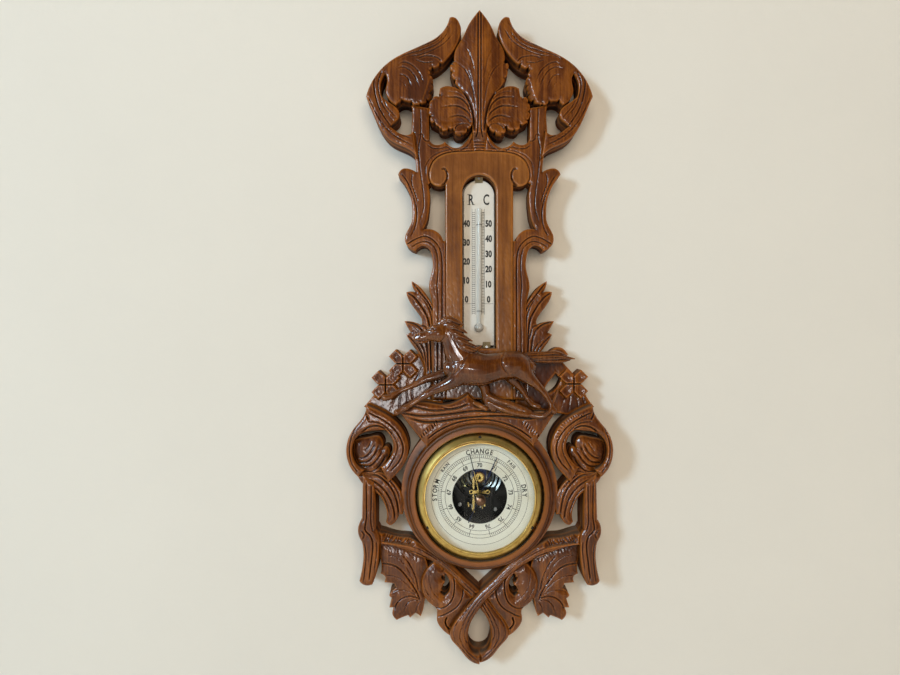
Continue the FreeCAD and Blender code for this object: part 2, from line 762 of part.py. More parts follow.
def build_board(niche):
    """The fretted board: every outline of the case, bored for the movement and let in behind."""
    whole = joined("board_blank", BOARD_PARTS)
    bore = rod("board_bore", "bore_radius", "0", "board_front")
    recess = fretted("niche_recess", [niche], "niche_floor", "board_front")
    half = ("0 - hanger_width / 2", "hanger_width / 2")
    tall = ("dial_drop - hanger_height / 2", "dial_drop + hanger_height / 2")
    let_in = block("hanger_let_in", half, tall, ("0", "hanger_thick"))
    pocket = rod("nail_head_pocket", "nail_pocket", "0", "nail_pocket_depth", y="dial_drop")
    pilots = [rod("hanger_pilot_%d" % side, "wood_screw_shank", "0", "wood_screw_end",
                  x="%d * hanger_screw_x" % side, y="dial_drop") for side in (-1, 1)]
    nails = [rod("nail_pilot_%s" % end, "nail_radius", "nail_end", "board_front", x=x, y=y)
             for end, x, y in NAILS]
    PIECES["backboard"] = cut_away("backboard", whole, [bore, recess, let_in, pocket] + pilots + nails)




# ---------------------------------------------------------------------------------------------
# Hanging and thermometer
# ---------------------------------------------------------------------------------------------
def build_hanger():
    half = ("0 - hanger_width / 2", "hanger_width / 2")
    tall = ("dial_drop - hanger_height / 2", "dial_drop + hanger_height / 2")
    plate = block("hanger_blank", half, tall, ("0", "hanger_thick"))
    hole = rod("hanger_hole_tool", "hanger_hole", "0", "hanger_thick", y="dial_drop")
    sinks, screws_made = [], []
    for side in (-1, 1):
        x = "%d * hanger_screw_x" % side
        tag = "left" if side < 0 else "right"
        sinks.append(rod("hanger_sink_" + tag, "wood_screw_head", "0", "hanger_thick", x=x, y="dial_drop"))
        head = rod("hanger_head_" + tag, "wood_screw_head", "0", "hanger_thick", x=x, y="dial_drop")
        shank = rod("hanger_shank_" + tag, "wood_screw_shank", "0", "wood_screw_end", x=x, y="dial_drop")
        slot = block("hanger_slot_" + tag, (x + " - wood_screw_head", x + " + wood_screw_head"),
                     ("dial_drop - 0.3", "dial_drop + 0.3"), ("0", "0.8"))
        screws_made.append(cut_away("hanger_screw_" + tag, joined("hanger_screw_body_" + tag,
                                                                  [head, shank]), [slot]))
    hang("hanger_plate", cut_away("hanger_plate", plate, [hole] + sinks))
    hang("hanger_screws", grouped("hanger_screws", screws_made))


def grouped(name, pieces):
    """Separate solids that share one node."""
    group = doc.addObject("Part::Compound", name)
    group.Links = pieces
    return group


def build_thermometer():
    window = arched(worth("scale_half"), worth("scale_bottom"), worth("scale_spring"))
    scale = fretted("scale_blank", [window], "niche_floor", "scale_front")
    seat = rod("bulb_seat", "bulb_hole", "niche_floor", "scale_front", y="bulb_y")
    hang("thermometer_scale", cut_away("thermometer_scale", scale, [seat]))

    def filled(name, ball_radius, stem_radius, top):
        ball = doc.addObject("Part::Sphere", name + "_ball")
        tie_to_sheet(ball, Radius=ball_radius, Placement__Base__y="bulb_y",
                     Placement__Base__z="tube_height")
        stem = bar_upright(name + "_stem", stem_radius, "bulb_y", top, "0", "tube_height")
        return joined(name, [ball, stem])

    glass = filled("tube_glass", "bulb_radius", "tube_radius", "tube_top")
    hollow = filled("tube_hollow", "bulb_bore", "tube_bore", "bore_top")
    hang("thermometer_tube", cut_away("thermometer_tube", glass, [hollow]))
    hang("mercury", filled("mercury", "bulb_bore", "tube_bore", "mercury_top"))

    ties = []
    for tag, y in (("upper", "tie_upper_y"), ("lower", "tie_lower_y")):
        bend = doc.addObject("Part::Torus", "tie_bend_" + tag)
        bend.Placement = Placement(Vector(0, 0, 0), Rotation(Vector(1, 0, 0), 90))
        bend.Angle3 = 180
        tie_to_sheet(bend, Radius1="tube_radius + tie_wire", Radius2="tie_wire",
                     Placement__Base__y=y, Placement__Base__z="tube_height")
        legs = [rod("tie_leg_%s_%d" % (tag, side), "tie_wire", "scale_front", "tube_height",
                    x="%d * (tube_radius + tie_wire)" % side, y=y) for side in (-1, 1)]
        ties.append(joined("tie_" + tag, [bend] + legs))
    hang("tube_ties", grouped("tube_ties", ties))

    clips, nails = [], []
    for tag, x, y in NAILS:
        reach = ("clip_%s_start" % tag, "clip_%s_end" % tag)
        clip = block("clip_blank_" + tag, (x + " - clip_half", x + " + clip_half"), reach,
                     ("scale_front", "clip_front"))
        hole = rod("clip_hole_" + tag, "nail_radius", "scale_front", "clip_front", x=x, y=y)
        clips.append(cut_away("clip_" + tag, clip, [hole]))
        shank = rod("nail_shank_" + tag, "nail_radius", "nail_end", "clip_front", x=x, y=y)
        head = rod("nail_head_" + tag, "2 * nail_radius", "clip_front", "clip_front + 0.6", x=x, y=y)
        nails.append(joined("nail_" + tag, [shank, head]))
    hang("scale_clips", grouped("scale_clips", clips))
    hang("clip_nails", grouped("clip_nails", nails))


# ---------------------------------------------------------------------------------------------
# Barometer
# ---------------------------------------------------------------------------------------------
MOVEMENT_SCREWS = (("a", "-20", "-15"), ("b", "17.5", "-20"), ("c", "-38", "22"), ("d", "38", "22"))


def build_front():
    """Case cup, dial, bezel, glass, hands and knob."""
    cup = turned("cup", [
        ("0", "cup_back"), ("cup_radius", "cup_back"), ("cup_radius", "flange_back"),
        ("flange_radius", "flange_back"), ("flange_radius", "flange_front"),
        ("cup_radius - cup_wall", "flange_front"), ("cup_radius - cup_wall", "cup_back + cup_wall"),
        ("0", "cup_back + cup_wall")])
    access = rod("cup_access", "adjuster_access", "0", "cup_back + cup_wall", y="capsule_y")
    fixings = [rod("cup_fixing_" + tag, "screw_shank", "cup_back", "plate_front", x=x, y=y)
               for tag, x, y in MOVEMENT_SCREWS]
    passes = screws("cup_screw_pass", "bezel_screw_shank", "flange_back", "flange_front")
    hang("movement_case", cut_away("movement_case", cup, [access] + fixings + passes))

    disc = turned("dial_blank", [
        ("aperture_radius", "flange_front"), ("dial_radius", "flange_front"),
        ("dial_radius", "dial_front"), ("aperture_radius", "dial_front")])
    passes = screws("dial_screw_pass", "bezel_screw_shank", "flange_front", "dial_front")
    hang("dial", cut_away("dial", disc, passes))

    ring = turned("bezel_blank", [
        ("glass_radius", "dial_front"), ("dial_radius + 0.3", "dial_front"),
        ("dial_radius + 0.3", "flange_front"), ("bezel_radius", "flange_front"),
        ("bezel_radius", "bezel_edge"), ("bezel_radius - 0.8", "bezel_edge + 0.8"),
        ("lip_outer + 1", "bezel_lip - 0.5"), ("lip_outer", "bezel_lip"), ("lip_inner", "bezel_lip"),
        ("lip_inner", "glass_front"), ("glass_radius", "glass_front")])
    seats = screws("bezel_seat", "bezel_screw_head", "bezel_screw_seat", "bezel_lip")
    passes = screws("bezel_screw_pass", "bezel_screw_shank", "flange_front", "bezel_screw_seat")
    hang("bezel", cut_away("bezel", ring, seats + passes))

    shanks = screws("bezel_shank", "bezel_screw_shank", "bezel_screw_end", "bezel_screw_seat")
    heads = screws("bezel_head", "bezel_screw_head", "bezel_screw_seat", "bezel_screw_top")
    hang("bezel_screws", grouped("bezel_screws", [
        joined("bezel_screw_%d" % number, list(halves))
        for number, halves in enumerate(zip(shanks, heads))]))

    hang("crystal", turned("crystal", [
        ("glass_hole", "glass_back"), ("glass_radius", "glass_back"),
        ("glass_radius", "glass_front"), ("glass_hole", "glass_front")]))
    hang("retaining_ring", turned("retaining_ring", [
        ("lip_inner + 0.2", "ring_seat_back"), ("glass_radius", "ring_seat_back"),
        ("glass_radius", "glass_back"), ("lip_inner + 0.2", "glass_back")]))


def pointer(name, outline, angle, low, high, boss, boss_front, hole):
    """A flat hand with a boss, turned clockwise from the top of the dial."""
    blade = fretted(name + "_blade", [outline], low, high)
    hub = rod(name + "_hub", boss, low, boss_front)
    eye = rod(name + "_eye", hole, low, boss_front)
    hand = cut_away(name + "_flat", joined(name + "_solid", [blade, hub]), [eye])
    hand.Placement = Placement(Vector(0, 0, 0), Rotation(Vector(0, 0, 1), -angle))
    turned_hand = doc.addObject("Part::Compound", name)
    turned_hand.Links = [hand]
    return hang(name, turned_hand)


def build_hands():
    tip, pin = worth("hand_tip"), 0.35
    indicator = [
        [(-0.9, 0), (-0.7, 25)],
        [(-0.7, 25), (-2.2, 30), (-0.8, 35)],
        [(-0.8, 35), (-pin, tip)],
        [(-pin, tip), (pin, tip)],
        [(pin, tip), (0.8, 35)],
        [(0.8, 35), (2.2, 30), (0.7, 25)],
        [(0.7, 25), (0.9, 0)],
        [(0.9, 0), (0.9, -15)],
        [(0.9, -15), (3.6, -20), (6, -27)],
        [(6, -27), (0, -23.5), (-6, -27)],
        [(-6, -27), (-3.6, -20), (-0.9, -15)],
        [(-0.9, -15), (-0.9, 0)],
    ]
    pointer("indicator_hand", indicator, worth("hand_angle"), "hand_back", "hand_front", "hand_boss",
            "hand_front", "arbor_radius")
    reach = worth("set_tip")
    marker = [
        [(-0.8, 0), (-0.8, 33)],
        [(-0.8, 33), (-2.0, 37), (-0.7, 41)],
        [(-0.7, 41), (-pin, reach)],
        [(-pin, reach), (pin, reach)],
        [(pin, reach), (0.7, 41)],
        [(0.7, 41), (2.0, 37), (0.8, 33)],
        [(0.8, 33), (0.8, 0)],
        [(0.8, 0), (0.8, -9)],
        Arc((0.8, -9), (0, -10), (-0.8, -9)),
        [(-0.8, -9), (-0.8, 0)],
    ]
    pointer("set_hand", marker, -worth("set_angle"), "set_back", "set_front", "set_boss",
            "set_boss_front", "spindle_end")
    hang("set_knob", turned("set_knob", [
        ("0", "set_back - 0.5"), ("spindle_end", "set_back - 0.5"), ("spindle_end", "set_boss_front"),
        ("spindle", "set_boss_front"), ("spindle", "knob_back"), ("knob_radius - 1.6", "knob_back"),
        ("knob_radius - 1.2", "knob_back + 4.5"), ("knob_radius", "knob_back + 6"),
        ("knob_radius", "knob_top - 2.8"), ("knob_radius - 0.7", "knob_top - 1.2"),
        ("knob_radius - 2.4", "knob_top - 0.3"), ("0", "knob_top")]))


def corrugated(low, high):
    """Corners of the capsule's wavy lid from the rim in to the stud, high side first."""
    waves = 4
    start, end = worth("capsule_radius") - 1.5, worth("stud_radius") + 1.0
    step = (start - end) / (2 * waves)
    return [("%.3f" % (start - step * index), low if index % 2 else high) for index in range(2 * waves)]


def build_capsule():
    outer_lid = corrugated("capsule_front - corrugation", "capsule_front")
    inner_lid = corrugated("capsule_front - corrugation - capsule_wall", "capsule_front - capsule_wall")
    outer_base = corrugated("capsule_back + corrugation", "capsule_back")
    inner_base = corrugated("capsule_back + corrugation + capsule_wall", "capsule_back + capsule_wall")
    shell = turned("capsule_shell", [
        ("foot_radius", "capsule_back")] + outer_base[::-1] + [
        ("capsule_radius", "capsule_back + 0.8"), ("capsule_radius", "capsule_front - 0.8")]
        + outer_lid + [("stud_radius", "capsule_front"), ("stud_radius", "stud_front"),
        ("0", "stud_front"), ("0", "capsule_front - capsule_wall")] + inner_lid[::-1] + [
        ("capsule_radius - capsule_wall", "capsule_front - 1.4"),
        ("capsule_radius - capsule_wall", "capsule_back + 1.4")] + inner_base + [
        ("0", "capsule_back + capsule_wall"), ("0", "plate_front"), ("foot_radius", "plate_front")],
        y="capsule_y")
    thread = rod("capsule_thread", "adjuster_hole", "0", "adjuster_end + 0.2", y="capsule_y")
    hang("capsule", cut_away("capsule", shell, [thread]))


def build_movement():
    bed = rod("plate_blank", "plate_radius", "cup_back + cup_wall", "plate_front")
    fixings = [rod("plate_fixing_" + tag, "screw_shank", "cup_back", "plate_front", x=x, y=y)
               for tag, x, y in MOVEMENT_SCREWS]
    thread = rod("plate_thread", "adjuster_hole", "0", "plate_front", y="capsule_y")
    hang("base_plate", cut_away("base_plate", bed, fixings + [thread]))
    hang("movement_screws", grouped("movement_screws", [
        joined("movement_screw_" + tag, [
            rod("movement_shank_" + tag, "screw_shank", "cup_back", "plate_front", x=x, y=y),
            rod("movement_head_" + tag, "screw_head", "plate_front", "screw_head_front", x=x, y=y)])
        for tag, x, y in MOVEMENT_SCREWS]))

    head = rod("adjuster_head_rod", "adjuster_head", "adjuster_back", "cup_back + cup_wall", y="capsule_y")
    shank = rod("adjuster_shank_rod", "adjuster_shank", "cup_back", "adjuster_end", y="capsule_y")
    slot = block("adjuster_slot", ("-4", "4"), ("capsule_y - 0.4", "capsule_y + 0.4"),
                 ("adjuster_back", "adjuster_back + 0.9"))
    hang("adjusting_screw", cut_away("adjusting_screw", joined("adjuster_body", [head, shank]), [slot]))

    width = ("0 - bridge_half", "bridge_half")
    foot = block("bridge_foot", width, ("bridge_back_y - bridge_wall", "bridge_foot_y"),
                 ("plate_front", "plate_front + 2"))
    upright = block("bridge_upright", width, ("bridge_back_y - bridge_wall", "bridge_back_y"),
                    ("plate_front", "spring_back"))
    ledge = block("bridge_ledge", width, ("pivot_y", "bridge_back_y"),
                  ("spring_back - 3", "spring_back"))
    hang("spring_bridge", joined("spring_bridge", [foot, upright, ledge]))

    strip = block("spring_strip", ("0 - spring_half", "spring_half"), ("spring_end_y", "bridge_back_y"),
                  ("spring_back", "spring_front"))
    eye = rod("spring_eye", "post_neck", "spring_back", "spring_front", y="capsule_y")
    hang("mainspring", cut_away("mainspring", strip, [eye]))

    hang("capsule_post", turned("capsule_post", [
        ("0", "stud_front"), ("post_radius", "stud_front"), ("post_radius", "spring_back"),
        ("post_neck", "spring_back"), ("post_neck", "lever_front"), ("collet_radius", "lever_front"),
        ("collet_radius", "collet_front - 0.3"), ("collet_radius - 0.3", "collet_front"),
        ("nut_radius", "collet_front"), ("nut_radius", "nut_front"), ("post_neck", "nut_front"),
        ("post_neck", "post_tip - 0.4"), ("post_neck - 0.4", "post_tip"), ("0", "post_tip")],
        y="capsule_y"))

    hub = rod("lever_hub_rod", "lever_hub", "spring_front", "lever_front", y="capsule_y")
    neck = rod("lever_eye", "post_neck", "spring_front", "lever_front", y="capsule_y")
    tail_y = "0 - rocker_y - crank_length"
    arm = block("lever_arm", ("0 - lever_x - lever_half", "0 - lever_x + lever_half"),
                (tail_y + " - lever_half", "capsule_y"), ("spring_front", "lever_front"))
    stalk = rod("lever_link", "link_radius", "link_end", "lever_front", x="0 - lever_x", y=tail_y)
    collar = rod("lever_collar", "collar_radius", "rocker_height + collar_back", "rocker_height + collar_front",
                 x="0 - lever_x", y=tail_y)
    hang("main_lever", joined("main_lever", [cut_away("lever_flat", joined("lever_plan", [hub, arm]),
                                                      [neck]), stalk, collar]))
    build_rocker()
    build_arbor()


def build_rocker():
    y = "0 - rocker_y"
    arbor = bar_across("rocker_arbor", "rocker_radius", "0 - rocker_left", "rocker_right", y,
                       "rocker_height")
    pivots = bar_across("rocker_pivots", "pivot_radius", "0 - rocker_left - pivot_length",
                        "rocker_right + pivot_length", y, "rocker_height")
    crank = block("rocker_crank", ("0 - lever_x - 1.5", "0 - lever_x + 1.5"),
                  (y + " - crank_length - 1.6", y), ("rocker_height - 0.5", "rocker_height + 0.5"))
    eye = rod("rocker_crank_eye", "crank_eye", "rocker_height - 1", "rocker_height + 1",
              x="0 - lever_x", y=y + " - crank_length")
    arm = rod("rocker_arm", "arm_radius", "rocker_height", "chain_height + 0.6",
              x="drum_radius + 0.3", y=y)
    hang("rocker", cut_away("rocker", joined("rocker_solid", [arbor, pivots, crank, arm]), [eye]))
    cocks = []
    for tag, low, high in (
            ("left", "0 - rocker_left - cock_gap - cock_wall", "0 - rocker_left - cock_gap"),
            ("right", "rocker_right + cock_gap", "rocker_right + cock_gap + cock_wall")):
        wall = block("cock_wall_" + tag, (low, high), (y + " - 2", y + " + 2"),
                     ("plate_front", "rocker_height + 2"))
        hole = bar_across("cock_hole_" + tag, "pivot_hole", low, high, y, "rocker_height")
        cocks.append(cut_away("cock_" + tag, wall, [hole]))
    hang("rocker_cocks", grouped("rocker_cocks", cocks))
    hang("chain", block("chain", ("drum_radius + 0.02", "drum_radius + 0.5"),
                        (y + " + arm_radius + 0.02", "0"), ("chain_height - 0.3", "chain_height + 0.3")))


def build_arbor():
    """The arbor that carries the hand, between the dark frame and the brass cock."""
    hang("hand_arbor", turned("hand_arbor", [
        ("0", "frame_back + 0.3"), ("pivot_radius", "frame_back + 0.3"),
        ("pivot_radius", "frame_front + 0.2"), ("arbor_radius", "frame_front + 0.2"),
        ("arbor_radius", "drum_back"), ("drum_flange", "drum_back"), ("drum_flange", "drum_back + 0.4"),
        ("drum_radius", "drum_back + 0.4"), ("drum_radius", "drum_front - 0.4"),
        ("drum_flange", "drum_front - 0.4"), ("drum_flange", "drum_front"),
        ("arbor_radius", "drum_front"), ("arbor_radius", "coil_back"), ("drum_flange", "coil_back"),
        ("drum_flange", "coil_front"), ("arbor_radius", "coil_front"), ("arbor_radius", "hand_front"),
        ("0", "hand_front")]))
    bar = block("frame_bar", ("0 - rail_outer", "rail_outer"), ("0 - lug_radius", "lug_y + lug_radius"),
                ("frame_back", "frame_front"))
    shares = [bar]
    for tag, low, high in (("left", "0 - rail_outer", "0 - rail_inner"),
                           ("right", "rail_inner", "rail_outer")):
        shares.append(block("frame_rail_" + tag, (low, high), ("0 - rail_foot_y", "lug_y"),
                            ("frame_back", "frame_front")))
        shares.append(block("frame_leg_" + tag, (low, high), ("0 - rail_foot_y", "0 - rail_foot_y + 3"),
                            ("plate_front", "frame_front")))
    jewel = rod("frame_pivot_hole", "pivot_hole", "frame_back", "frame_front")
    hang("bridge_frame", cut_away("bridge_frame", joined("frame_solid", shares), [jewel]))

    web = block("cock_web", ("0 - lug_x", "lug_x"), ("lug_y - 1.5", "lug_y + 1.5"),
                ("cock_back", "cock_front"))
    tongue = rod("cock_tongue", "lug_radius + 0.6", "cock_back", "cock_front")
    hole = rod("cock_arbor_hole", "arbor_hole", "cock_back", "cock_front")
    lugs = [rod("cock_lug_%d" % side, "lug_radius", "cock_back", "cock_front",
                x="%d * lug_x" % side, y="lug_y") for side in (-1, 1)]
    pillars = [rod("cock_pillar_%d" % side, "pillar_radius", "frame_front", "cock_back",
                   x="%d * lug_x" % side, y="lug_y") for side in (-1, 1)]
    hang("hand_bridge", cut_away("hand_bridge", joined("cock_solid", [web, tongue] + lugs + pillars),
                                 [hole]))
    build_hairspring()


def build_hairspring():
    """A flat spiral from the collet on the arbor out to the cock's right pillar."""
    turns, steps = 4.0, 49
    inner = worth("drum_flange") + 0.02
    end_angle = math.atan2(worth("lug_y"), worth("lug_x"))
    outer = math.hypot(worth("lug_x"), worth("lug_y")) - worth("pillar_radius") - 0.02
    band = worth("coil_band")
    edges = []
    for offset in (0.0, band):
        run = []
        for step in range(steps):
            share = step / (steps - 1.0)
            angle = end_angle - 2 * math.pi * turns * (1 - share)
            radius = inner + (outer - band - inner) * share + offset
            run.append((radius * math.cos(angle), radius * math.sin(angle)))
        edges.append(run)
    inside, outside = edges
    spiral = [inside, [inside[-1], outside[-1]], outside[::-1], [outside[0], inside[0]]]
    hang("hairspring", fretted("hairspring", [spiral], "coil_back", "coil_front"))


# ---------------------------------------------------------------------------------------------
# Build, check and write
# ---------------------------------------------------------------------------------------------
def check_and_write():
    doc.recompute()
    for thing in doc.Objects:
        if "Invalid" in thing.State or "Error" in thing.State:
            raise RuntimeError("%s did not build: %s" % (thing.Label, thing.State))
    os.makedirs("parts", exist_ok=True)
    for old in os.listdir("parts"):
        if old.endswith(".step"):
            os.remove(os.path.join("parts", old))
    for name, thing in sorted(NODES.items()):
        shape = thing.Shape
        if shape.isNull() or not shape.isValid():
            raise RuntimeError("%s has no valid shape" % name)
        shape.exportStep(os.path.join("parts", name + ".step"))
        print("%-24s %2d solid(s) %10.1f mm3" % (name, len(shape.Solids), shape.Volume))


build_case()
build_hanger()
build_thermometer()
build_front()
build_hands()
build_capsule()
build_movement()
check_and_write()
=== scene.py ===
"""Looks of an aneroid barometer with a thermometer in a carved wall case.

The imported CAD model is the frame: its metal, glass and turned pieces stay and get materials.
The carved wooden pieces are flat blanks there, and this script carves them: each blank's own
outline is read from the frame, covered with a fine mesh, rounded, crowned and cut with veins.

Bench coordinates are used throughout: x to the right and y up from the dial's centre, and the
height h off the wall, all in millimetres.
"""
import json
import math
from collections import defaultdict

import bmesh
import bpy
import numpy as np
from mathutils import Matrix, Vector, geometry, kdtree


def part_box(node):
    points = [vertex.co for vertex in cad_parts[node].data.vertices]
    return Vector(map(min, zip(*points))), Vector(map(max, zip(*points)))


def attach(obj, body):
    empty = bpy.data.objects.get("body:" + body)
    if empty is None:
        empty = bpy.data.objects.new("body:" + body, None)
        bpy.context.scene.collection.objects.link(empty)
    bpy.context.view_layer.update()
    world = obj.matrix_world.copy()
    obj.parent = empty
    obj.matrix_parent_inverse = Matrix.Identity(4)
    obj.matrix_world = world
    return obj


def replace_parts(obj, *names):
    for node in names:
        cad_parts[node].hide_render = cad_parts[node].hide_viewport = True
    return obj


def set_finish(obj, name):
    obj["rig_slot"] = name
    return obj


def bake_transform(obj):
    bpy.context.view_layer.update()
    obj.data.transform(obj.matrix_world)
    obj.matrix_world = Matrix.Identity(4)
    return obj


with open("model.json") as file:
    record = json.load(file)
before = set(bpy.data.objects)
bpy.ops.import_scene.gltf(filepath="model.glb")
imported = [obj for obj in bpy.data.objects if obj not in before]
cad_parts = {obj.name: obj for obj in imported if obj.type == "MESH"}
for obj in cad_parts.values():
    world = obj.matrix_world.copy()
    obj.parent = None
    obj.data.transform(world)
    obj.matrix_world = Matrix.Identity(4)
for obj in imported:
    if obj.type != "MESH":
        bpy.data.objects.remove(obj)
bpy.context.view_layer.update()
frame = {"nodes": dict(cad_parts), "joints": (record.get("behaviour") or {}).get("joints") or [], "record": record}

JOINTS = {joint["name"]: joint for joint in frame["joints"]}
DIAL_Z = JOINTS["hand_turn"]["pos_m"][2]
MM = 0.001
LEFT, RIGHT = 1, -1
CUT_WIDTH, CUT_DEPTH = 0.80, 0.85      # how the veins' sizes are scaled, all together
EDGE_ROUND, CROWN_RISE = 0.36, 0.75    # and the rounding of edges and the fall towards them
ROW_SPACING = 0.866                    # the rows of an even triangle grid, against its step
SIDE_RINGS, THINNEST = 3, 0.6          # rings down a carving's sides, and its least thickness
SOFT_RIM = 1.2                         # cuts fade within this distance of the outline
FLAT_WITHIN = 0.02                     # how far a flat face's corners may stray
CORNER_TURN, SMOOTHING_ROUNDS = 28, 6  # outline bends sharper than this, in degrees, are kept


def place(x, y, h):
    """Bench millimetres to the row frame's metres."""
    return (x * MM, -h * MM, y * MM + DIAL_Z)


# ---------------------------------------------------------------------------------------------
# Materials
# ---------------------------------------------------------------------------------------------
class Nodes:
    """A short way to write a node tree."""

    def __init__(self, name):
        self.material = bpy.data.materials.new(name)
        self.material.use_nodes = True
        self.tree = self.material.node_tree
        self.tree.nodes.clear()
        self.out = self.tree.nodes.new("ShaderNodeOutputMaterial")
        self.where = self.tree.nodes.new("ShaderNodeTexCoord").outputs["Object"]

    def add(self, kind, inputs=None, **settings):
        node = self.tree.nodes.new("ShaderNode" + kind)
        for key, value in settings.items():
            setattr(node, key, value)
        for key, value in (inputs or {}).items():
            self.set(node.inputs[key], value)
        return node

    def set(self, socket, value):
        if isinstance(value, bpy.types.NodeSocket):
            self.tree.links.new(value, socket)
        else:
            socket.default_value = value

    def mapped(self, scale):
        return self.add("Mapping", {"Vector": self.where, "Scale": scale}).outputs[0]

    def noise(self, vector, scale, detail=4.0, rough=0.55, distortion=0.0):
        node = self.add("TexNoise", {"Vector": vector, "Scale": scale, "Detail": detail,
                                     "Roughness": rough, "Distortion": distortion})
        return node.outputs["Fac"]

    def ramp(self, fac, *stops):
        node = self.add("ValToRGB", {"Fac": fac})
        elements = node.color_ramp.elements
        while len(elements) < len(stops):
            elements.new(0.5)
        for element, (place_, colour) in zip(elements, stops):
            element.position = place_
            element.color = colour if len(colour) == 4 else (*colour, 1.0)
        return node.outputs["Color"]

    def grey(self, fac, low, high, from_low=0.0, from_high=1.0):
        node = self.add("MapRange", {"Value": fac, "From Min": from_low, "From Max": from_high,
                                     "To Min": low, "To Max": high})
        return node.outputs["Result"]

    def math(self, kind, first, second=0.5):
        return self.add("Math", {0: first, 1: second}, operation=kind).outputs[0]

    def mix(self, fac, first, second, kind="MIX"):
        node = self.add("Mix", {"Factor": fac}, data_type="RGBA", blend_type=kind)
        self.set(node.inputs[6], first)
        self.set(node.inputs[7], second)
        return node.outputs[2]

    def bump(self, height, strength, distance, normal=None):
        inputs = {"Height": height, "Strength": strength, "Distance": distance}
        if normal is not None:
            inputs["Normal"] = normal
        return self.add("Bump", inputs).outputs["Normal"]

    def finish(self, **inputs):
        """A Principled surface with these inputs, spaces written as underscores."""
        surface = self.add("BsdfPrincipled",
                           {key.replace("_", " "): value for key, value in inputs.items()})
        self.tree.links.new(surface.outputs[0], self.out.inputs["Surface"])
        return self.material


def rgba(red, green, blue):
    """An opaque colour."""
    return (red, green, blue, 1.0)


def wood(name, dark, middle, light, dust=0.5, gloss=0.36, coat=0.65, figure=0.7, side_shade=0.75):
    """Stained, varnished wood: upright grain, painted shade in hollows and on sides, edges painted lighter as
    rubbed wear and highlight, dusty ledges.
    """
    n = Nodes(name)
    broad = n.noise(n.mapped((9, 9, 2.2)), 6.0, 3.0, 0.5, 0.6)
    grain = n.noise(n.mapped((420, 420, 16)), 1.0, 5.0, 0.6, 0.4)
    pores = n.noise(n.mapped((1500, 1500, 60)), 1.0, 2.0, 0.5)
    blotch = n.noise(n.where, 42.0, 4.0, 0.6, 0.8)
    shade = n.math("ADD", n.math("MULTIPLY", broad, 0.40), n.math("MULTIPLY", grain, 0.40))
    shade = n.math("ADD", shade, n.math("MULTIPLY", blotch, 0.25))
    colour = n.ramp(shade, (0.35, dark), (0.52, middle), (0.69, light))
    pore = n.grey(pores, 0.0, 0.4 * figure, 0.56, 0.70)
    colour = n.mix(pore, colour, rgba(dark[0] * 0.45, dark[1] * 0.4, dark[2] * 0.4))
    shape = n.add("NewGeometry")
    normal_parts = n.add("SeparateXYZ", {0: shape.outputs["Normal"]}).outputs
    # Painted shade: faces turned away from the front are coloured darker and greyer. The same mask also takes the
    # varnish coat off them and makes them rougher.
    sides = n.grey(n.math("MULTIPLY", normal_parts["Y"], -1.0), side_shade, 0.0, 0.05, 0.45)
    colour = n.mix(sides, colour, rgba(dark[0] * 0.9, dark[1] * 1.1, dark[2] * 1.6))
    # Painted shade in hollows: the colour darkens towards near black where ambient occlusion finds surfaces close
    # by.
    hollow_shade = n.add("AmbientOcclusion", {"Distance": 0.011}, samples=8, only_local=False)
    depth = n.grey(hollow_shade.outputs["AO"], 1.0, 0.0, 0.36, 1.0)
    colour = n.mix(depth, colour, rgba(dark[0] * 0.22, dark[1] * 0.18, dark[2] * 0.2))
    # Edges lighter by pointiness: partly rubbed wear, partly a painted highlight along the edges.
    edge = n.grey(shape.outputs["Pointiness"], 0.0, 0.70, 0.505, 0.56)
    colour = n.mix(edge, colour, rgba(light[0] * 1.5, light[1] * 1.5, light[2] * 1.6))
    speck = n.noise(n.where, 900.0, 4.0, 0.7)
    settled = n.math("MULTIPLY", n.grey(normal_parts["Z"], 0.0, dust, 0.55, 0.95),
                     n.grey(speck, 0.3, 1.0, 0.35, 0.6))
    colour = n.mix(settled, colour, rgba(0.20, 0.16, 0.11))
    rough = n.math("ADD", n.grey(grain, gloss - 0.06, gloss + 0.12),
                   n.math("MULTIPLY", n.math("ADD", settled, sides), 0.5))
    normal = n.bump(pores, 0.25, 0.0002)
    normal = n.bump(grain, 0.30 * figure, 0.0003, normal)
    normal = n.bump(n.noise(n.where, 120.0, 3.0), 0.22 * figure, 0.0012, normal)
    coating = n.math("MULTIPLY", n.grey(settled, coat, 0.0), n.grey(sides, 1.0, 0.0, 0.0, 0.8))
    return n.finish(Base_Color=colour, Roughness=rough, Normal=normal, Coat_Weight=coating,
                    Coat_Roughness=gloss * 0.5, Specular_IOR_Level=0.22)


def metal(name, colour, tarnish, rough, scratch=0.15):
    """Bare or lacquered metal with uneven tarnish, fine scratches and a soft unevenness."""
    n = Nodes(name)
    cloud = n.noise(n.where, 70.0, 5.0, 0.6, 0.4)
    fine = n.noise(n.mapped((1400, 1400, 1400)), 1.0, 3.0, 0.6)
    spots = n.noise(n.where, 650.0, 3.0, 0.6)
    tint = n.mix(n.grey(cloud, 0.0, 0.9, 0.45, 0.7), rgba(*colour), rgba(*tarnish))
    tint = n.mix(n.grey(spots, 0.0, 0.5, 0.62, 0.75), tint, rgba(*[c * 0.35 for c in tarnish]))
    roughness = n.math("ADD", n.grey(cloud, rough - 0.05, rough + 0.12),
                       n.grey(fine, -scratch / 2, scratch / 2))
    normal = n.bump(fine, 0.12, 0.0001)
    normal = n.bump(spots, 0.10, 0.0002, normal)
    return n.finish(Base_Color=tint, Metallic=1.0, Roughness=roughness, Normal=normal)


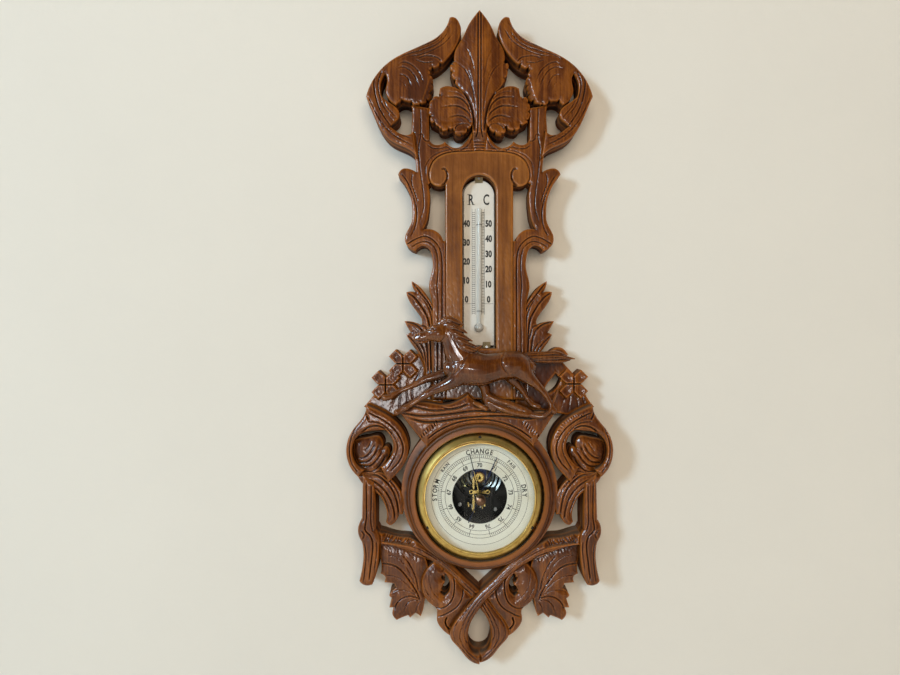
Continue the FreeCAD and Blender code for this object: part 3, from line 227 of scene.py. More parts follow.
def enamel(name, colour, stain, rough, yellowing=(0.5, 0.75)):
    """A pale lacquered or opal surface with faint yellowing and specks of age."""
    n = Nodes(name)
    cloud = n.noise(n.where, 38.0, 5.0, 0.6, 0.3)
    specks = n.noise(n.where, 1100.0, 2.0, 0.5)
    tint = n.mix(n.grey(cloud, 0.0, 0.8, *yellowing), rgba(*colour), rgba(*stain))
    tint = n.mix(n.grey(specks, 0.0, 0.5, 0.70, 0.80), tint, rgba(0.25, 0.2, 0.12))
    normal = n.bump(n.noise(n.where, 300.0, 3.0), 0.08, 0.0002)
    return n.finish(Base_Color=tint, Roughness=n.grey(cloud, rough, rough + 0.1), Normal=normal,
                    Coat_Weight=0.3, Coat_Roughness=0.08)


def glass(name, tint, milk=0.0):
    """Glass that lets light straight through and reflects more at grazing angles; milk whitens it."""
    n = Nodes(name)
    smear = n.noise(n.where, 55.0, 4.0, 0.6, 0.5)
    clear = n.add("BsdfTransparent", {"Color": rgba(*tint)})
    white = n.add("BsdfDiffuse", {"Color": rgba(0.86, 0.86, 0.82)})
    through = n.add("MixShader", {0: milk, 1: clear.outputs[0], 2: white.outputs[0]})
    shine = n.add("BsdfGlossy", {"Color": rgba(1, 1, 1), "Roughness": n.grey(smear, 0.02, 0.09)})
    facing = n.add("LayerWeight", {"Blend": 0.5}).outputs["Facing"]
    share = n.math("ADD", n.math("MULTIPLY", n.math("POWER", facing, 5.0), 0.9), 0.035)
    mixed = n.add("MixShader", {0: share, 1: through.outputs[0], 2: shine.outputs[0]})
    n.tree.links.new(mixed.outputs[0], n.out.inputs["Surface"])
    return n.material


def ink(name, colour):
    """Printer's ink, slightly uneven and worn."""
    n = Nodes(name)
    worn = n.noise(n.where, 900.0, 4.0, 0.7)
    tint = n.mix(n.grey(worn, 0.0, 0.25, 0.5, 0.75), rgba(*colour), rgba(0.42, 0.38, 0.30))
    return n.finish(Base_Color=tint, Roughness=0.55)


MATERIALS = {
    "carved_wood": wood("carved_wood", (0.030, 0.006, 0.0004), (0.100, 0.0235, 0.0012),
                        (0.28, 0.085, 0.007)),
    "board_wood": wood("board_wood", (0.045, 0.013, 0.004), (0.10, 0.032, 0.009), (0.17, 0.06, 0.017),
                       dust=0.75, gloss=0.5, coat=0.15),
    "turned_wood": wood("turned_wood", (0.020, 0.004, 0.0004), (0.062, 0.014, 0.001), (0.19, 0.056, 0.005)),
    "horse_wood": wood("horse_wood", (0.034, 0.007, 0.0005), (0.095, 0.0235, 0.0015), (0.21, 0.066, 0.006),
                       dust=0.2, gloss=0.24, coat=1.0, figure=0.3, side_shade=0.25),
    "bezel_brass": metal("bezel_brass", (0.90, 0.64, 0.20), (0.62, 0.38, 0.08), 0.30),
    "brass": metal("brass", (0.86, 0.66, 0.26), (0.50, 0.32, 0.10), 0.22),
    "knob_brass": metal("knob_brass", (0.20, 0.115, 0.07), (0.10, 0.05, 0.03), 0.30),
    "steel": metal("steel", (0.58, 0.57, 0.55), (0.25, 0.22, 0.19), 0.30),
    "blued_steel": metal("blued_steel", (0.035, 0.045, 0.10), (0.02, 0.022, 0.035), 0.24),
    "blackened_iron": metal("blackened_iron", (0.035, 0.034, 0.032), (0.012, 0.011, 0.010), 0.42),
    "tinplate": metal("tinplate", (0.16, 0.155, 0.145), (0.06, 0.055, 0.05), 0.45),
    "nickel_silver": metal("nickel_silver", (0.50, 0.49, 0.46), (0.22, 0.21, 0.19), 0.22),
    "iron_wire": metal("iron_wire", (0.02, 0.02, 0.02), (0.05, 0.03, 0.02), 0.5),
    "mercury": metal("mercury", (0.80, 0.80, 0.80), (0.66, 0.66, 0.66), 0.08, scratch=0.02),
    "dial_enamel": enamel("dial_enamel", (0.74, 0.74, 0.665), (0.60, 0.53, 0.38), 0.35, (0.5, 0.85)),
    "opal_glass": enamel("opal_glass", (0.66, 0.64, 0.58), (0.50, 0.44, 0.32), 0.16, (0.5, 0.8)),
    "clear_glass": glass("clear_glass", (0.985, 0.99, 0.98)),
}
TUBE = glass("enamel_backed_tube", (0.96, 0.97, 0.95), milk=0.45)
INK = ink("black_ink", (0.012, 0.010, 0.009))
PLAIN_BOARD = wood("plain_board", (0.095, 0.027, 0.003), (0.185, 0.058, 0.007), (0.31, 0.112, 0.018),
                   dust=0.3, gloss=0.34, coat=0.55)


def dress(obj, slot):
    """Give an object its slot's material and no other."""
    obj.data.materials.clear()
    obj.data.materials.append(MATERIALS[slot])


def placed(name, data):
    """A new object with this data, in the scene."""
    obj = bpy.data.objects.new(name, data)
    bpy.context.scene.collection.objects.link(obj)
    return obj


for subpart in frame["record"]["subparts"]:
    dress(frame["nodes"][subpart["node"]], subpart["material_slot"])


def ringed_brass(name, centres, bright, rim, centre):
    """Brass coloured by distance from the given centres: a bright ring, with darker colours inside and outside it.
    """
    n = Nodes(name)
    near = None
    for x, y in centres:
        away = n.add("VectorMath", {0: n.where, 1: (x * MM, 0, y * MM + DIAL_Z)}, operation="SUBTRACT")
        flat = n.add("VectorMath", {0: away.outputs[0], 1: (1, 0, 1)}, operation="MULTIPLY")
        length = n.add("VectorMath", {0: flat.outputs[0]}, operation="LENGTH").outputs["Value"]
        near = length if near is None else n.math("MINIMUM", near, length)
    inner, outer, reach = (value * MM for value in bright)
    inside = n.grey(near, 1.0, 0.0, inner - 0.2 * MM, inner + 0.1 * MM)
    ringed = n.math("MULTIPLY", n.grey(near, 0.0, 1.0, outer, outer + 0.3 * MM),
                    n.grey(near, 1.0, 0.0, reach, reach + 0.3 * MM))
    cloud = n.noise(n.where, 260.0, 4.0)
    tint = n.mix(cloud, rgba(0.88, 0.68, 0.24), rgba(0.66, 0.45, 0.14))
    tint = n.mix(inside, tint, rgba(*centre))
    tint = n.mix(ringed, tint, rgba(*rim))
    return n.finish(Base_Color=tint, Metallic=1.0, Roughness=n.grey(cloud, 0.2, 0.34))


BLACK_SCREW = metal("black_screw", (0.05, 0.04, 0.03), (0.02, 0.015, 0.01), 0.4)
DULL_BRASS = metal("dull_brass", (0.34, 0.26, 0.14), (0.20, 0.14, 0.07), 0.5)
for node, material in (
        ("bezel_screws", BLACK_SCREW),
        ("thermometer_tube", TUBE),
        ("scale_clips", DULL_BRASS),
        ("capsule_post", ringed_brass("collet_brass", [(0, 17.7)], (1.5, 4.0, 7.0),
                                      (0.16, 0.09, 0.04), (0.03, 0.02, 0.01))),
        ("hand_bridge", ringed_brass("lug_brass", [(-8.4, 3.6), (8.4, 3.6)], (1.4, 8.0, 8.1),
                                     (0.2, 0.1, 0.04), (0.02, 0.015, 0.01)))):
    frame["nodes"][node].data.materials[0] = material


# ---------------------------------------------------------------------------------------------
# Outlines read from the frame
# ---------------------------------------------------------------------------------------------
def bench_mesh(node):
    """A CAD node's welded corners in bench millimetres, and its triangles."""
    mesh = frame["nodes"][node].data
    mesh.calc_loop_triangles()
    corners = np.empty(len(mesh.vertices) * 3)
    mesh.vertices.foreach_get("co", corners)
    corners = corners.reshape(-1, 3)
    triangles = np.empty(len(mesh.loop_triangles) * 3, np.int64)
    mesh.loop_triangles.foreach_get("vertices", triangles)
    bench = np.column_stack([corners[:, 0], corners[:, 2] - DIAL_Z, -corners[:, 1]]) / MM
    welded, which = np.unique(np.round(bench, 3), axis=0, return_inverse=True)
    return welded, which.ravel()[triangles].reshape(-1, 3)


def cap_loops(node, level=None):
    """The closed outlines of a node's flat front, or of its flat face at one height."""
    corners, triangles = bench_mesh(node)
    front = corners[:, 2].max() if level is None else level
    flat = np.abs(corners[:, 2] - front) < FLAT_WITHIN
    cap = triangles[flat[triangles].all(1)]
    sides = set()
    for a, b, c in cap.tolist():
        if len({a, b, c}) == 3:
            sides.update(((a, b), (b, c), (c, a)))
    follows = defaultdict(list)
    for a, b in sides:
        if (b, a) not in sides:
            follows[a].append(b)
    loops = []
    while follows:
        start = next(iter(follows))
        loop, here = [], start
        while here in follows:
            loop.append(here)
            onward = follows[here].pop()
            if not follows[here]:
                del follows[here]
            here = onward
        if len(loop) > 2:
            loops.append(corners[loop][:, :2])
    return loops, front, corners[:, 2].min()


def evened(loop, step):
    """The loop at an even spacing, its gentle bends smoothed and its corners kept."""
    after = np.roll(loop, -1, 0) - loop
    before = loop - np.roll(loop, 1, 0)
    turn = np.abs(np.angle((after[:, 0] + 1j * after[:, 1]) / (before[:, 0] + 1j * before[:, 1] + 1e-12)))
    points, fixed = [], []
    for here, way, angle in zip(loop, after, turn):
        length = np.hypot(*way)
        count = max(1, int(round(length / step)))
        for index in range(count):
            points.append(here + way * index / count)
            fixed.append(index == 0 and angle > math.radians(CORNER_TURN))
    points, free = np.array(points), ~np.array(fixed)
    for _ in range(SMOOTHING_ROUNDS):
        middle = (np.roll(points, 1, 0) + np.roll(points, -1, 0)) / 2
        points[free] += 0.5 * (middle - points)[free]
    return points


def toothed(loop, regions, pitch=9.5, depth=2.3):
    """The loop notched into a leaf's rounded lobes where it runs through these boxes."""
    way = np.roll(loop, -1, 0) - np.roll(loop, 1, 0)
    inward = np.column_stack([-way[:, 1], way[:, 0]]) / np.maximum(np.hypot(*way.T), 1e-9)[:, None]
    turning = loop[:, 0] * np.roll(loop[:, 1], -1) - loop[:, 1] * np.roll(loop[:, 0], -1)
    if turning.sum() < 0:
        inward = -inward
    step = np.hypot(*(loop - np.roll(loop, 1, 0)).T)
    bite = 1 - np.abs(np.sin(math.pi * np.cumsum(step) / pitch))
    x, y = np.abs(loop[:, 0]), loop[:, 1]
    within = np.zeros(len(loop), bool)
    for x0, x1, y0, y1 in regions:
        within |= (x > x0) & (x < x1) & (y > y0) & (y < y1)
    return loop + inward * (depth * bite ** 2 * within)[:, None]


def inside(points, loops):
    """Whether each point lies inside the loops, holes left out."""
    within = np.zeros(len(points), bool)
    x, y = points[:, 0], points[:, 1]
    for loop in loops:
        for (x0, y0), (x1, y1) in zip(loop, np.roll(loop, -1, 0)):
            if y0 == y1:
                continue
            crossing = (y0 > y) != (y1 > y)
            within ^= crossing & (x < (x1 - x0) * (y - y0) / (y1 - y0) + x0)
    return within


def nearest(points, loops):
    """Each point's distance to the outlines."""
    spots = np.concatenate([np.concatenate([loop + (np.roll(loop, -1, 0) - loop) * share
                                            for share in (0.0, 0.34, 0.67)]) for loop in loops])
    tree = kdtree.KDTree(len(spots))
    for index, (x, y) in enumerate(spots):
        tree.insert((x, y, 0.0), index)
    tree.balance()
    return np.array([tree.find((x, y, 0.0))[2] for x, y in points])


# ---------------------------------------------------------------------------------------------
# Curves and cuts
# ---------------------------------------------------------------------------------------------
def spline(points, per_span):
    """A Catmull-Rom line through three or more points, of any number of coordinates."""
    points = np.array(points, float)
    ends = np.vstack([2 * points[0] - points[1], points, 2 * points[-1] - points[-2]])
    line = []
    for a, b, c, d in zip(ends, ends[1:], ends[2:], ends[3:]):
        for t in np.linspace(0, 1, per_span, endpoint=False):
            line.append(0.5 * (2 * b + (c - a) * t + (2 * a - 5 * b + 4 * c - d) * t * t
                               + (3 * b - a - 3 * c + d) * t ** 3))
    line.append(points[-1])
    return np.array(line)


def curve(points, per_span=8):
    """A cut's line: smooth through given points, or straight between two."""
    if len(points) < 3:
        return np.linspace(*np.array(points, float), per_span + 1)
    return spline(points, per_span)


def groove(points, width=1.3, depth=1.6, fold=1.0, taper=0.25):
    """A veiner's cut. With a fold other than 1 its left side is that many times wider."""
    return {"line": curve(points), "width": width * CUT_WIDTH, "depth": depth * CUT_DEPTH,
            "fold": fold, "taper": taper}


def mirrored(cuts, side):
    """The same cuts for the left, or turned over for the right."""
    if side == LEFT:
        return cuts
    return [dict(cut, line=(cut["line"] * (-1, 1))[::-1]) for cut in cuts]


def on_both_halves(cuts):
    """The cuts on a symmetrical piece's left half, and turned over on its right half."""
    return cuts + mirrored(cuts, RIGHT)


def cut_depth(points, cut):
    """How deep one cut goes at each point."""
    line, reach = cut["line"], cut["width"] * max(1.0, cut["fold"])
    low, high = line.min(0) - reach, line.max(0) + reach
    near = np.nonzero(((points > low) & (points < high)).all(1))[0]
    deep = np.zeros(len(points))
    if not len(near):
        return deep
    here = points[near][:, None, :]
    start, way = line[:-1][None], (line[1:] - line[:-1])[None]
    share = np.clip(((here - start) * way).sum(2) / np.maximum((way ** 2).sum(2), 1e-9), 0, 1)
    gap = here - (start + way * share[..., None])
    distance = np.hypot(gap[..., 0], gap[..., 1])
    which = distance.argmin(1)
    rows = np.arange(len(near))
    best = distance[rows, which]
    lean = way[0, which, 0] * gap[rows, which, 1] - way[0, which, 1] * gap[rows, which, 0]
    width = np.where(lean > 0, cut["width"] * cut["fold"], cut["width"])
    along = (which + share[rows, which]) / (len(line) - 1)
    ends = np.clip(np.minimum(along, 1 - along) / max(cut["taper"], 1e-6), 0, 1) ** 0.7
    edge = np.clip(1 - best / width, 0, 1)
    deep[near] = cut["depth"] * ends * edge ** 1.9
    return deep


def tool_marks(points):
    """The slight waviness that gouges leave, the same at every run."""
    x, y = points[:, 0], points[:, 1]
    return (0.10 * np.sin(x * 0.83 + 1.7 * np.sin(y * 0.31)) * np.sin(y * 0.57 + 1.1 * np.sin(x * 0.43))
            + 0.05 * np.sin(x * 1.9 + y * 1.3 + 2.0 * np.sin(y * 0.7)))


# ---------------------------------------------------------------------------------------------
# Carving
# ---------------------------------------------------------------------------------------------
def new_piece(name, vertices, faces, slot, body="root", sharp=60, look=None):
    """An object from corners and faces. A look stands in for its slot's usual material."""
    mesh = bpy.data.meshes.new(name)
    mesh.from_pydata([tuple(v) for v in vertices], [], [tuple(f) for f in faces])
    mesh.validate()
    obj = dressed(placed(name, mesh), slot, body, sharp)
    if look is not None:
        obj.data.materials[0] = look
    return obj


def dressed(obj, slot, body="root", sharp=60):
    """Smooth shading but for sharp corners, the slot's material, and the body it rides on."""
    mesh = obj.data
    mesh.shade_smooth()
    mesh.set_sharp_from_angle(angle=math.radians(sharp))
    if slot is not None:
        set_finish(obj, slot)
        dress(obj, slot)
    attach(obj, body)
    return obj


def triangulated(points, loops_at):
    """Triangles over points whose first ones run round the loops."""
    sides = []
    for start, count in loops_at:
        sides += [(start + i, start + (i + 1) % count) for i in range(count)]
    found = geometry.delaunay_2d_cdt([Vector(p) for p in points.tolist()], sides, [], 0, 1e-6, True)
    spots, _, faces, origins = found[0], found[1], found[2], found[3]
    source = [ids[0] if ids else -1 for ids in origins]
    return [tuple(source[i] for i in face) for face in faces if all(source[i] >= 0 for i in face)]


def filled(rim, loops, step):
    """Points of an even triangle grid inside the loops, and their distance to the outline."""
    lowest, highest = rim.min(0), rim.max(0)
    columns = np.arange(lowest[0], highest[0], step)
    rows = np.arange(lowest[1], highest[1], step * ROW_SPACING)
    grid = np.array([(x + (step / 2 if i % 2 else 0), y) for i, y in enumerate(rows) for x in columns])
    grid = grid[inside(grid, loops)]
    clear = nearest(grid, loops)
    return grid[clear > step * 0.5], clear[clear > step * 0.5]


def turned_area(face, points):
    """Twice a triangle's area, negative where it runs clockwise."""
    (ax, ay), (bx, by), (cx, cy) = (points[i] for i in face[:3])
    return (bx - ax) * (cy - ay) - (by - ay) * (cx - ax)


def carved_height(points, edge, front, crown, roundness, cuts, shape):
    """The carved front's height at each point, from its distance to the outline and its cuts."""
    reach, rise = crown
    roundness *= EDGE_ROUND
    height = np.full(len(points), front) - rise * CROWN_RISE * np.clip(1 - edge / reach, 0, 1) ** 2
    over = np.clip(1 - edge / roundness, 0, 1)
    height -= roundness * (1 - np.sqrt(np.maximum(0, 1 - over ** 2)))
    soft = np.clip(edge / SOFT_RIM, 0.15, 1)
    for cut in cuts:
        height -= cut_depth(points, cut) * soft
    if shape is not None:
        height -= shape(points, edge)
    return height + tool_marks(points) * np.clip(edge / 2, 0, 1)


def side_faces(front_faces, loops_at, count, around):
    """Quads down the piece's sides, along each outline edge that the front's faces use."""
    directed = set()
    for a, b, c in front_faces:
        directed.update(((a, b), (b, c), (c, a)))
    faces = []
    for start, size in loops_at:
        for i in range(size):
            here, there = start + i, start + (i + 1) % size
            if (here, there) not in directed and (there, here) not in directed:
                continue
            if (here, there) in directed:
                here, there = there, here
            levels = [(here, there)] + [(count + ring * around + here, count + ring * around + there)
                                        for ring in range(SIDE_RINGS)]
            for (p, q), (r, s) in zip(levels, levels[1:]):
                faces.append((p, q, s, r))
    return faces


def carve(name, node, crown=(6.0, 1.6), roundness=1.8, cuts=(), shape=None, level=None, back=None,
          loops=None, step=0.7, look=None, teeth=(), nudge=None):
    """Cover a blank's front with a fine mesh, shape it, and close it with sides and a back."""
    if loops is None:
        loops, front, low = cap_loops(node, level)
    else:
        front, low = level, back
    if nudge is not None:
        loops = [nudge(np.asarray(loop)) for loop in loops]
    loops = [evened(np.asarray(loop), step) for loop in loops]
    loops = [toothed(loop, teeth) for loop in loops if len(loop) > 5]
    rim = np.concatenate(loops)
    grid, clear = filled(rim, loops, step)
    points = np.concatenate([rim, grid])
    edge = np.concatenate([np.zeros(len(rim)), clear])
    starts = np.cumsum([0] + [len(loop) for loop in loops])
    loops_at = [(int(start), len(loop)) for start, loop in zip(starts, loops)]
    faces = triangulated(points, loops_at)
    centres = np.array([points[list(face)].mean(0) for face in faces])
    faces = [face for face, kept in zip(faces, inside(centres, loops)) if kept]
    faces = [face if turned_area(face, points) > 0 else face[::-1] for face in faces]

    height = carved_height(points, edge, front, crown, roundness, cuts, shape)
    height = np.clip(height, low + THINNEST, front)
    vertices = [place(x, y, h) for (x, y), h in zip(points, height)]
    for ring in range(1, SIDE_RINGS + 1):
        share = ring / SIDE_RINGS
        vertices += [place(x, y, h + (low - h) * share) for (x, y), h in zip(rim, height[:len(rim)])]
    faces += side_faces(faces, loops_at, len(points), len(rim))

    base = len(points) + (SIDE_RINGS - 1) * len(rim)
    flat = triangulated(rim, loops_at)
    middles = np.array([rim[list(face)].mean(0) for face in flat])
    for face, kept in zip(flat, inside(middles, loops)):
        if kept:
            ordered = face if turned_area(face, rim) < 0 else face[::-1]
            faces.append(tuple(base + i for i in ordered))
    obj = new_piece(name, vertices, faces, "carved_wood", look=look)
    if node is not None:
        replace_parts(obj, node)
    return obj


def both(name, cuts, **style):
    """Carve the left piece and its mirror image on the right."""
    for side, word in ((LEFT, "left"), (RIGHT, "right")):
        node = "%s_%s" % (name, word)
        carve("carved_" + node, node, cuts=mirrored(cuts, side), **style)


# ---------------------------------------------------------------------------------------------
# The carvings, from the crest down; cuts are given for the left side
# ---------------------------------------------------------------------------------------------
PANEL_EDGE = max(cap_loops("thermometer_panel")[0], key=len)
UNDER_PANEL = 23.5                      # the height of what passes beneath the panel


def under_panel(front):
    """Let a piece pass beneath the panel, with a narrow dark joint round the panel's edge."""
    def shape(points, edge):
        gap = nearest(points, [PANEL_EDGE])
        return np.where(inside(points, [PANEL_EDGE]), front - UNDER_PANEL,
                        (front - UNDER_PANEL) * np.clip(1 - gap / 1.1, 0, 1))
    return shape


def crest_shape(points, edge):
    """Two halves falling away from the midrib, and a stem that sinks into the rails below."""
    x, y = points[:, 0], points[:, 1]
    blade = 0.13 * np.clip(np.abs(x) - 2.4, 0, 20) * np.clip((y - 372) / 12, 0, 1)
    stem = 5.2 * np.clip((373 - y) / 7, 0, 1)
    return np.maximum(blade + stem, under_panel(31.0)(points, edge))


def cross_lines():
    """Three rings round the stem where the crest is bound."""
    return [groove([(-8.5, y), (0, y + 0.5), (8.5, y)], 0.9, 1.3, taper=0.2)
            for y in (357.6, 360.6, 363.6)]


carve("carved_crest_leaf", "crest_leaf", crown=(4, 1.2), roundness=1.3, shape=crest_shape,
      teeth=[(9, 60, 370, 384), (30, 60, 384, 398), (27, 60, 400, 412),
             (22, 40, 425, 448)], cuts=cross_lines() + on_both_halves([
        groove([(-1.5, 499), (-1.5, 440), (-1.6, 380), (-3.6, 368)], 1.1, 2.4, taper=0.02),
        groove([(-17, 414.5), (-11, 404), (-7, 390), (-5.5, 374)], 1.5, 3.2, fold=3.0, taper=0.1),
        groove([(-25.5, 446), (-15, 437), (-8.5, 422), (-4.6, 400), (-4.0, 384)], 1.0, 1.1, fold=1.6),
        groove([(-15.5, 462), (-8.5, 448), (-4.5, 428)], 0.9, 0.8, fold=1.6),
        groove([(-13, 440), (-8.5, 428), (-5.5, 410)], 0.8, 0.7),
        groove([(-8.3, 391), (-13, 402), (-22, 409.0), (-36, 409.5)], 1.2, 2.0, fold=2.0),
        groove([(-7.5, 386), (-13, 394.5), (-24, 400.5), (-40, 399)], 1.2, 2.0, fold=2.0),
        groove([(-8.0, 382), (-15, 388.5), (-23, 390.5), (-32, 388)], 1.2, 1.9, fold=2.0),
        groove([(-9.5, 400), (-15, 408), (-24, 414), (-34, 415)], 0.8, 0.8),
        groove([(-8.5, 378), (-14, 381.5), (-22, 381.5), (-29, 379)], 0.9, 0.9, fold=1.6),
        groove([(-26, 373), (-23.5, 379), (-17, 382)], 1.0, 1.6, fold=1.6),
    ]))


def longer_tip(loop):
    """The scroll's tip, drawn out a little further."""
    share = np.clip((loop[:, 1] - 468) / 22, 0, 1) * (np.abs(loop[:, 0]) < 46)
    return loop + np.column_stack([np.sign(loop[:, 0]) * 0.8 * share, 3.0 * share ** 1.3])


def scroll_shape(points, edge):
    """The leaf's lobes are cut away steeply towards the middle of the crest."""
    x, y = np.abs(points[:, 0]), points[:, 1]
    lobe = np.clip((y - 402) / 3, 0, 1) * np.clip((431 - y) / 5, 0, 1)
    return lobe * np.clip((58.5 - 0.32 * (y - 405) - x) / 9, 0, 1) * 6.0


both("crest_scroll", [
    groove([(-28.5, 486), (-38, 475.4), (-46, 467), (-62, 460.5), (-79, 454.5), (-92, 446.5), (-100, 437)],
           1.0, 1.5, fold=1.4, taper=0.08),
    groove([(-30, 478), (-42, 464.0), (-59, 457), (-74, 452.8), (-86, 447)], 0.9, 1.3, taper=0.1),
    groove([(-24.5, 480), (-33, 467), (-45, 458.5), (-60, 452.5), (-72, 450.5)], 0.9, 1.2, taper=0.1),
    groove([(-62.5, 449), (-54.5, 451), (-44, 449.5), (-39, 445.5)], 1.0, 1.5, fold=1.6, taper=0.1),
    groove([(-47, 445), (-56, 444), (-66, 447)], 0.9, 1.2, taper=0.1),
    groove([(-84, 441), (-78, 444.5), (-70, 441.8), (-62.5, 434.5), (-57.5, 423)], 0.9, 1.4, fold=1.8),
    groove([(-86, 437), (-79, 439.5), (-72, 436.5), (-66, 429), (-61.5, 417.5)], 0.9, 1.4, fold=1.8),
    groove([(-84, 431.5), (-77, 431), (-73, 426.5), (-69.5, 417.5)], 0.9, 1.2, fold=1.8),
    groove([(-81, 425.5), (-77, 422), (-75, 415)], 0.7, 0.7),
    groove([(-103, 442), (-108, 428), (-107.5, 414), (-103, 398), (-94, 383), (-82, 371.5), (-70, 366.5)],
           1.1, 2.0, taper=0.06),
    groove([(-114, 409), (-110, 400), (-101, 383.5), (-87, 369), (-68, 359)], 1.0, 1.4, taper=0.08),
    groove([(-100, 436), (-104, 424), (-103, 412), (-99, 400), (-92, 391)], 1.0, 1.6, fold=1.4, taper=0.08),
    groove([(-84, 386), (-89, 392), (-95, 399), (-99, 408)], 0.9, 1.2, fold=1.8),
    groove([(-88, 384), (-93, 390), (-98, 397)], 0.7, 0.7),
] + [groove([(-99.5 + 3.3 * i, 378.5 - 2.6 * i), (-96.5 + 3.3 * i, 379 - 2.6 * i)], 0.8, 1.2, taper=0.3)
     for i in range(8)], crown=(4, 1.3), roundness=1.5, shape=scroll_shape, nudge=longer_tip,
     teeth=[(46, 64, 402, 436), (64, 86, 400, 408), (36, 56, 430, 446)])

both("frame_stile", cross_lines() + [
    groove([(-61, 400), (-60.5, 384), (-60.5, 370), (-63, 356), (-62, 344), (-60.5, 330), (-58, 312),
            (-57.5, 296), (-62, 280)], 1.0, 1.3, taper=0.05),
    groove([(-80.5, 331.5), (-74, 322), (-67.5, 306), (-64.5, 291), (-66, 277), (-71, 266)], 1.1, 1.7,
           taper=0.08),
    groove([(-69, 331), (-70, 322), (-66, 310), (-63.5, 302)], 1.0, 1.5, taper=0.1),
    groove([(-75, 258), (-66, 263.5), (-56, 266.5), (-47, 262), (-41, 254), (-38.5, 240), (-38.5, 200),
            (-38.5, 100)], 1.1, 2.0, taper=0.02),
    groove([(-70, 255.5), (-62, 260), (-54, 261), (-47, 256), (-43.4, 247), (-42.5, 232), (-43.6, 215),
            (-42.4, 195), (-43, 160), (-43, 100)], 1.0, 1.5, taper=0.02),
    groove([(-34, 258), (-34, 200), (-34, 100)], 0.8, 1.0, taper=0.02),
    groove([(-63, 371), (-58.5, 371.5), (-57.5, 367), (-53.5, 364.5), (-50.5, 366.5)], 0.9, 1.4, taper=0.1),
    groove([(-6.5, 370), (-11, 361), (-18.5, 355.6), (-27, 354.6), (-33, 358.6), (-39, 357.4), (-47, 357),
            (-53.5, 361)], 0.9, 1.5, taper=0.05),
    groove([(-9.5, 357.5), (-26, 356.4), (-41, 353), (-50, 347.5), (-55, 339), (-55.5, 328)], 0.9, 1.0,
           taper=0.05),
], crown=(3.5, 1.2), roundness=1.7, shape=under_panel(26.0))

both("leaf_spray", [
    groove([(-70, 220), (-60.5, 208), (-51, 195), (-46, 180), (-45, 150)], 1.3, 2.2, fold=1.8, taper=0.05),
    groove([(-61.5, 206), (-54, 196), (-49, 180), (-48, 150), (-47, 124)], 1.2, 1.6, fold=1.8),
    groove([(-74.5, 208.5), (-66, 202), (-57, 189), (-52, 176), (-50.5, 150), (-50, 124)], 1.3, 2.4,
           fold=2.2, taper=0.05),
    groove([(-76.5, 178.5), (-66, 175.5), (-59, 169), (-54.5, 155), (-53, 124)], 1.3, 2.0, fold=2.0,
           taper=0.06),
    groove([(-74.5, 164.5), (-65, 154.5), (-59, 143), (-56.5, 124)], 1.2, 1.6, fold=2.0, taper=0.06),
    groove([(-66, 160.5), (-59, 153), (-56, 142), (-55, 124)], 1.1, 1.4, fold=1.5),
    groove([(-60, 174.5), (-55, 172), (-52, 160)], 1.2, 1.8, fold=2.0, taper=0.1),
], crown=(5, 2.0), roundness=1.3)


def ground_cuts():
    """Long furrows, an arch that follows the dial's surround, and short strokes at both ends."""
    cuts = [
        groove([(-70, 93), (-47, 88), (-24, 90.5), (-11, 95)], 1.6, 2.6, fold=2.0, taper=0.1),
        groove([(-81, 86), (-60, 82.5), (-33, 84), (-4, 87.5), (21, 86)], 1.6, 2.8, fold=2.2, taper=0.1),
        groove([(-74, 81), (-51, 76), (-15, 80.5), (21, 82.5), (48, 80), (64, 82)], 1.6, 3.0, fold=2.2,
               taper=0.1),
        groove([(-10, 101), (0, 95), (12, 91.5), (28, 88)], 1.5, 2.4, fold=2.0),
        groove([(-40, 92), (-30, 89), (-18, 91)], 1.2, 1.8, fold=2.0),
        groove([(20, 88), (38, 84), (55, 84)], 1.4, 2.2, fold=2.0),
    ]
    arch = [(80.5 * math.sin(t), 0.1 + 79.0 * math.cos(t)) for t in np.linspace(-0.72, 0.72, 9)]
    cuts.append(groove(arch, 1.6, 2.6, taper=0.03))
    for side in (-1, 1):
        for number in range(9):
            x = side * (45 + 2.2 * number)
            y = 79 - 2.0 * number
            cuts.append(groove([(x, y), (x + side * -2.5, y - 5.0)], 0.9, 1.9, taper=0.35))
    return cuts


carve("carved_ground", "ground", crown=(8, 3.5), roundness=2.2, cuts=ground_cuts())

VOLUTE_CUTS = [
    groove([(-117, 85), (-127, 70), (-132.5, 52), (-131, 36), (-123.5, 24)], 1.2, 1.8, taper=0.05),
    groove([(-114, 86), (-100, 79), (-88, 70), (-80, 58), (-78, 47), (-82, 36), (-91, 26)], 1.3, 2.2,
           taper=0.04),
    groove([(-114, 77), (-101, 74.5), (-91, 66), (-84.5, 55), (-84.5, 46), (-89, 36), (-96, 25)], 1.2, 1.7,
           taper=0.05),
    groove([(-122, 63), (-114, 70), (-104, 72), (-96, 69)], 1.3, 2.4, fold=2.0, taper=0.08),
    groove([(-117, 92), (-116, 84), (-113, 78)], 1.3, 2.4, fold=2.0, taper=0.1),
]


def volute_hatch():
    """Short gouge marks across the band's outer edge, as on bark."""
    cuts = []
    for t in np.linspace(0.15, 2.0, 17):
        x, y = -101 + 24.5 * math.cos(t), 53 + 31 * math.sin(t)
        cuts.append(groove([(x, y), (x - 3.0 * math.cos(t) - 1.4, y - 3.6 * math.sin(t) + 1.2)], 0.9, 1.5,
                           taper=0.35))
    return cuts


for side, word, extra in ((LEFT, "left", []), (RIGHT, "right", volute_hatch())):
    carve("carved_volute_" + word, "volute_" + word, crown=(5, 2.4), roundness=2.2,
          cuts=mirrored(VOLUTE_CUTS + extra, side))

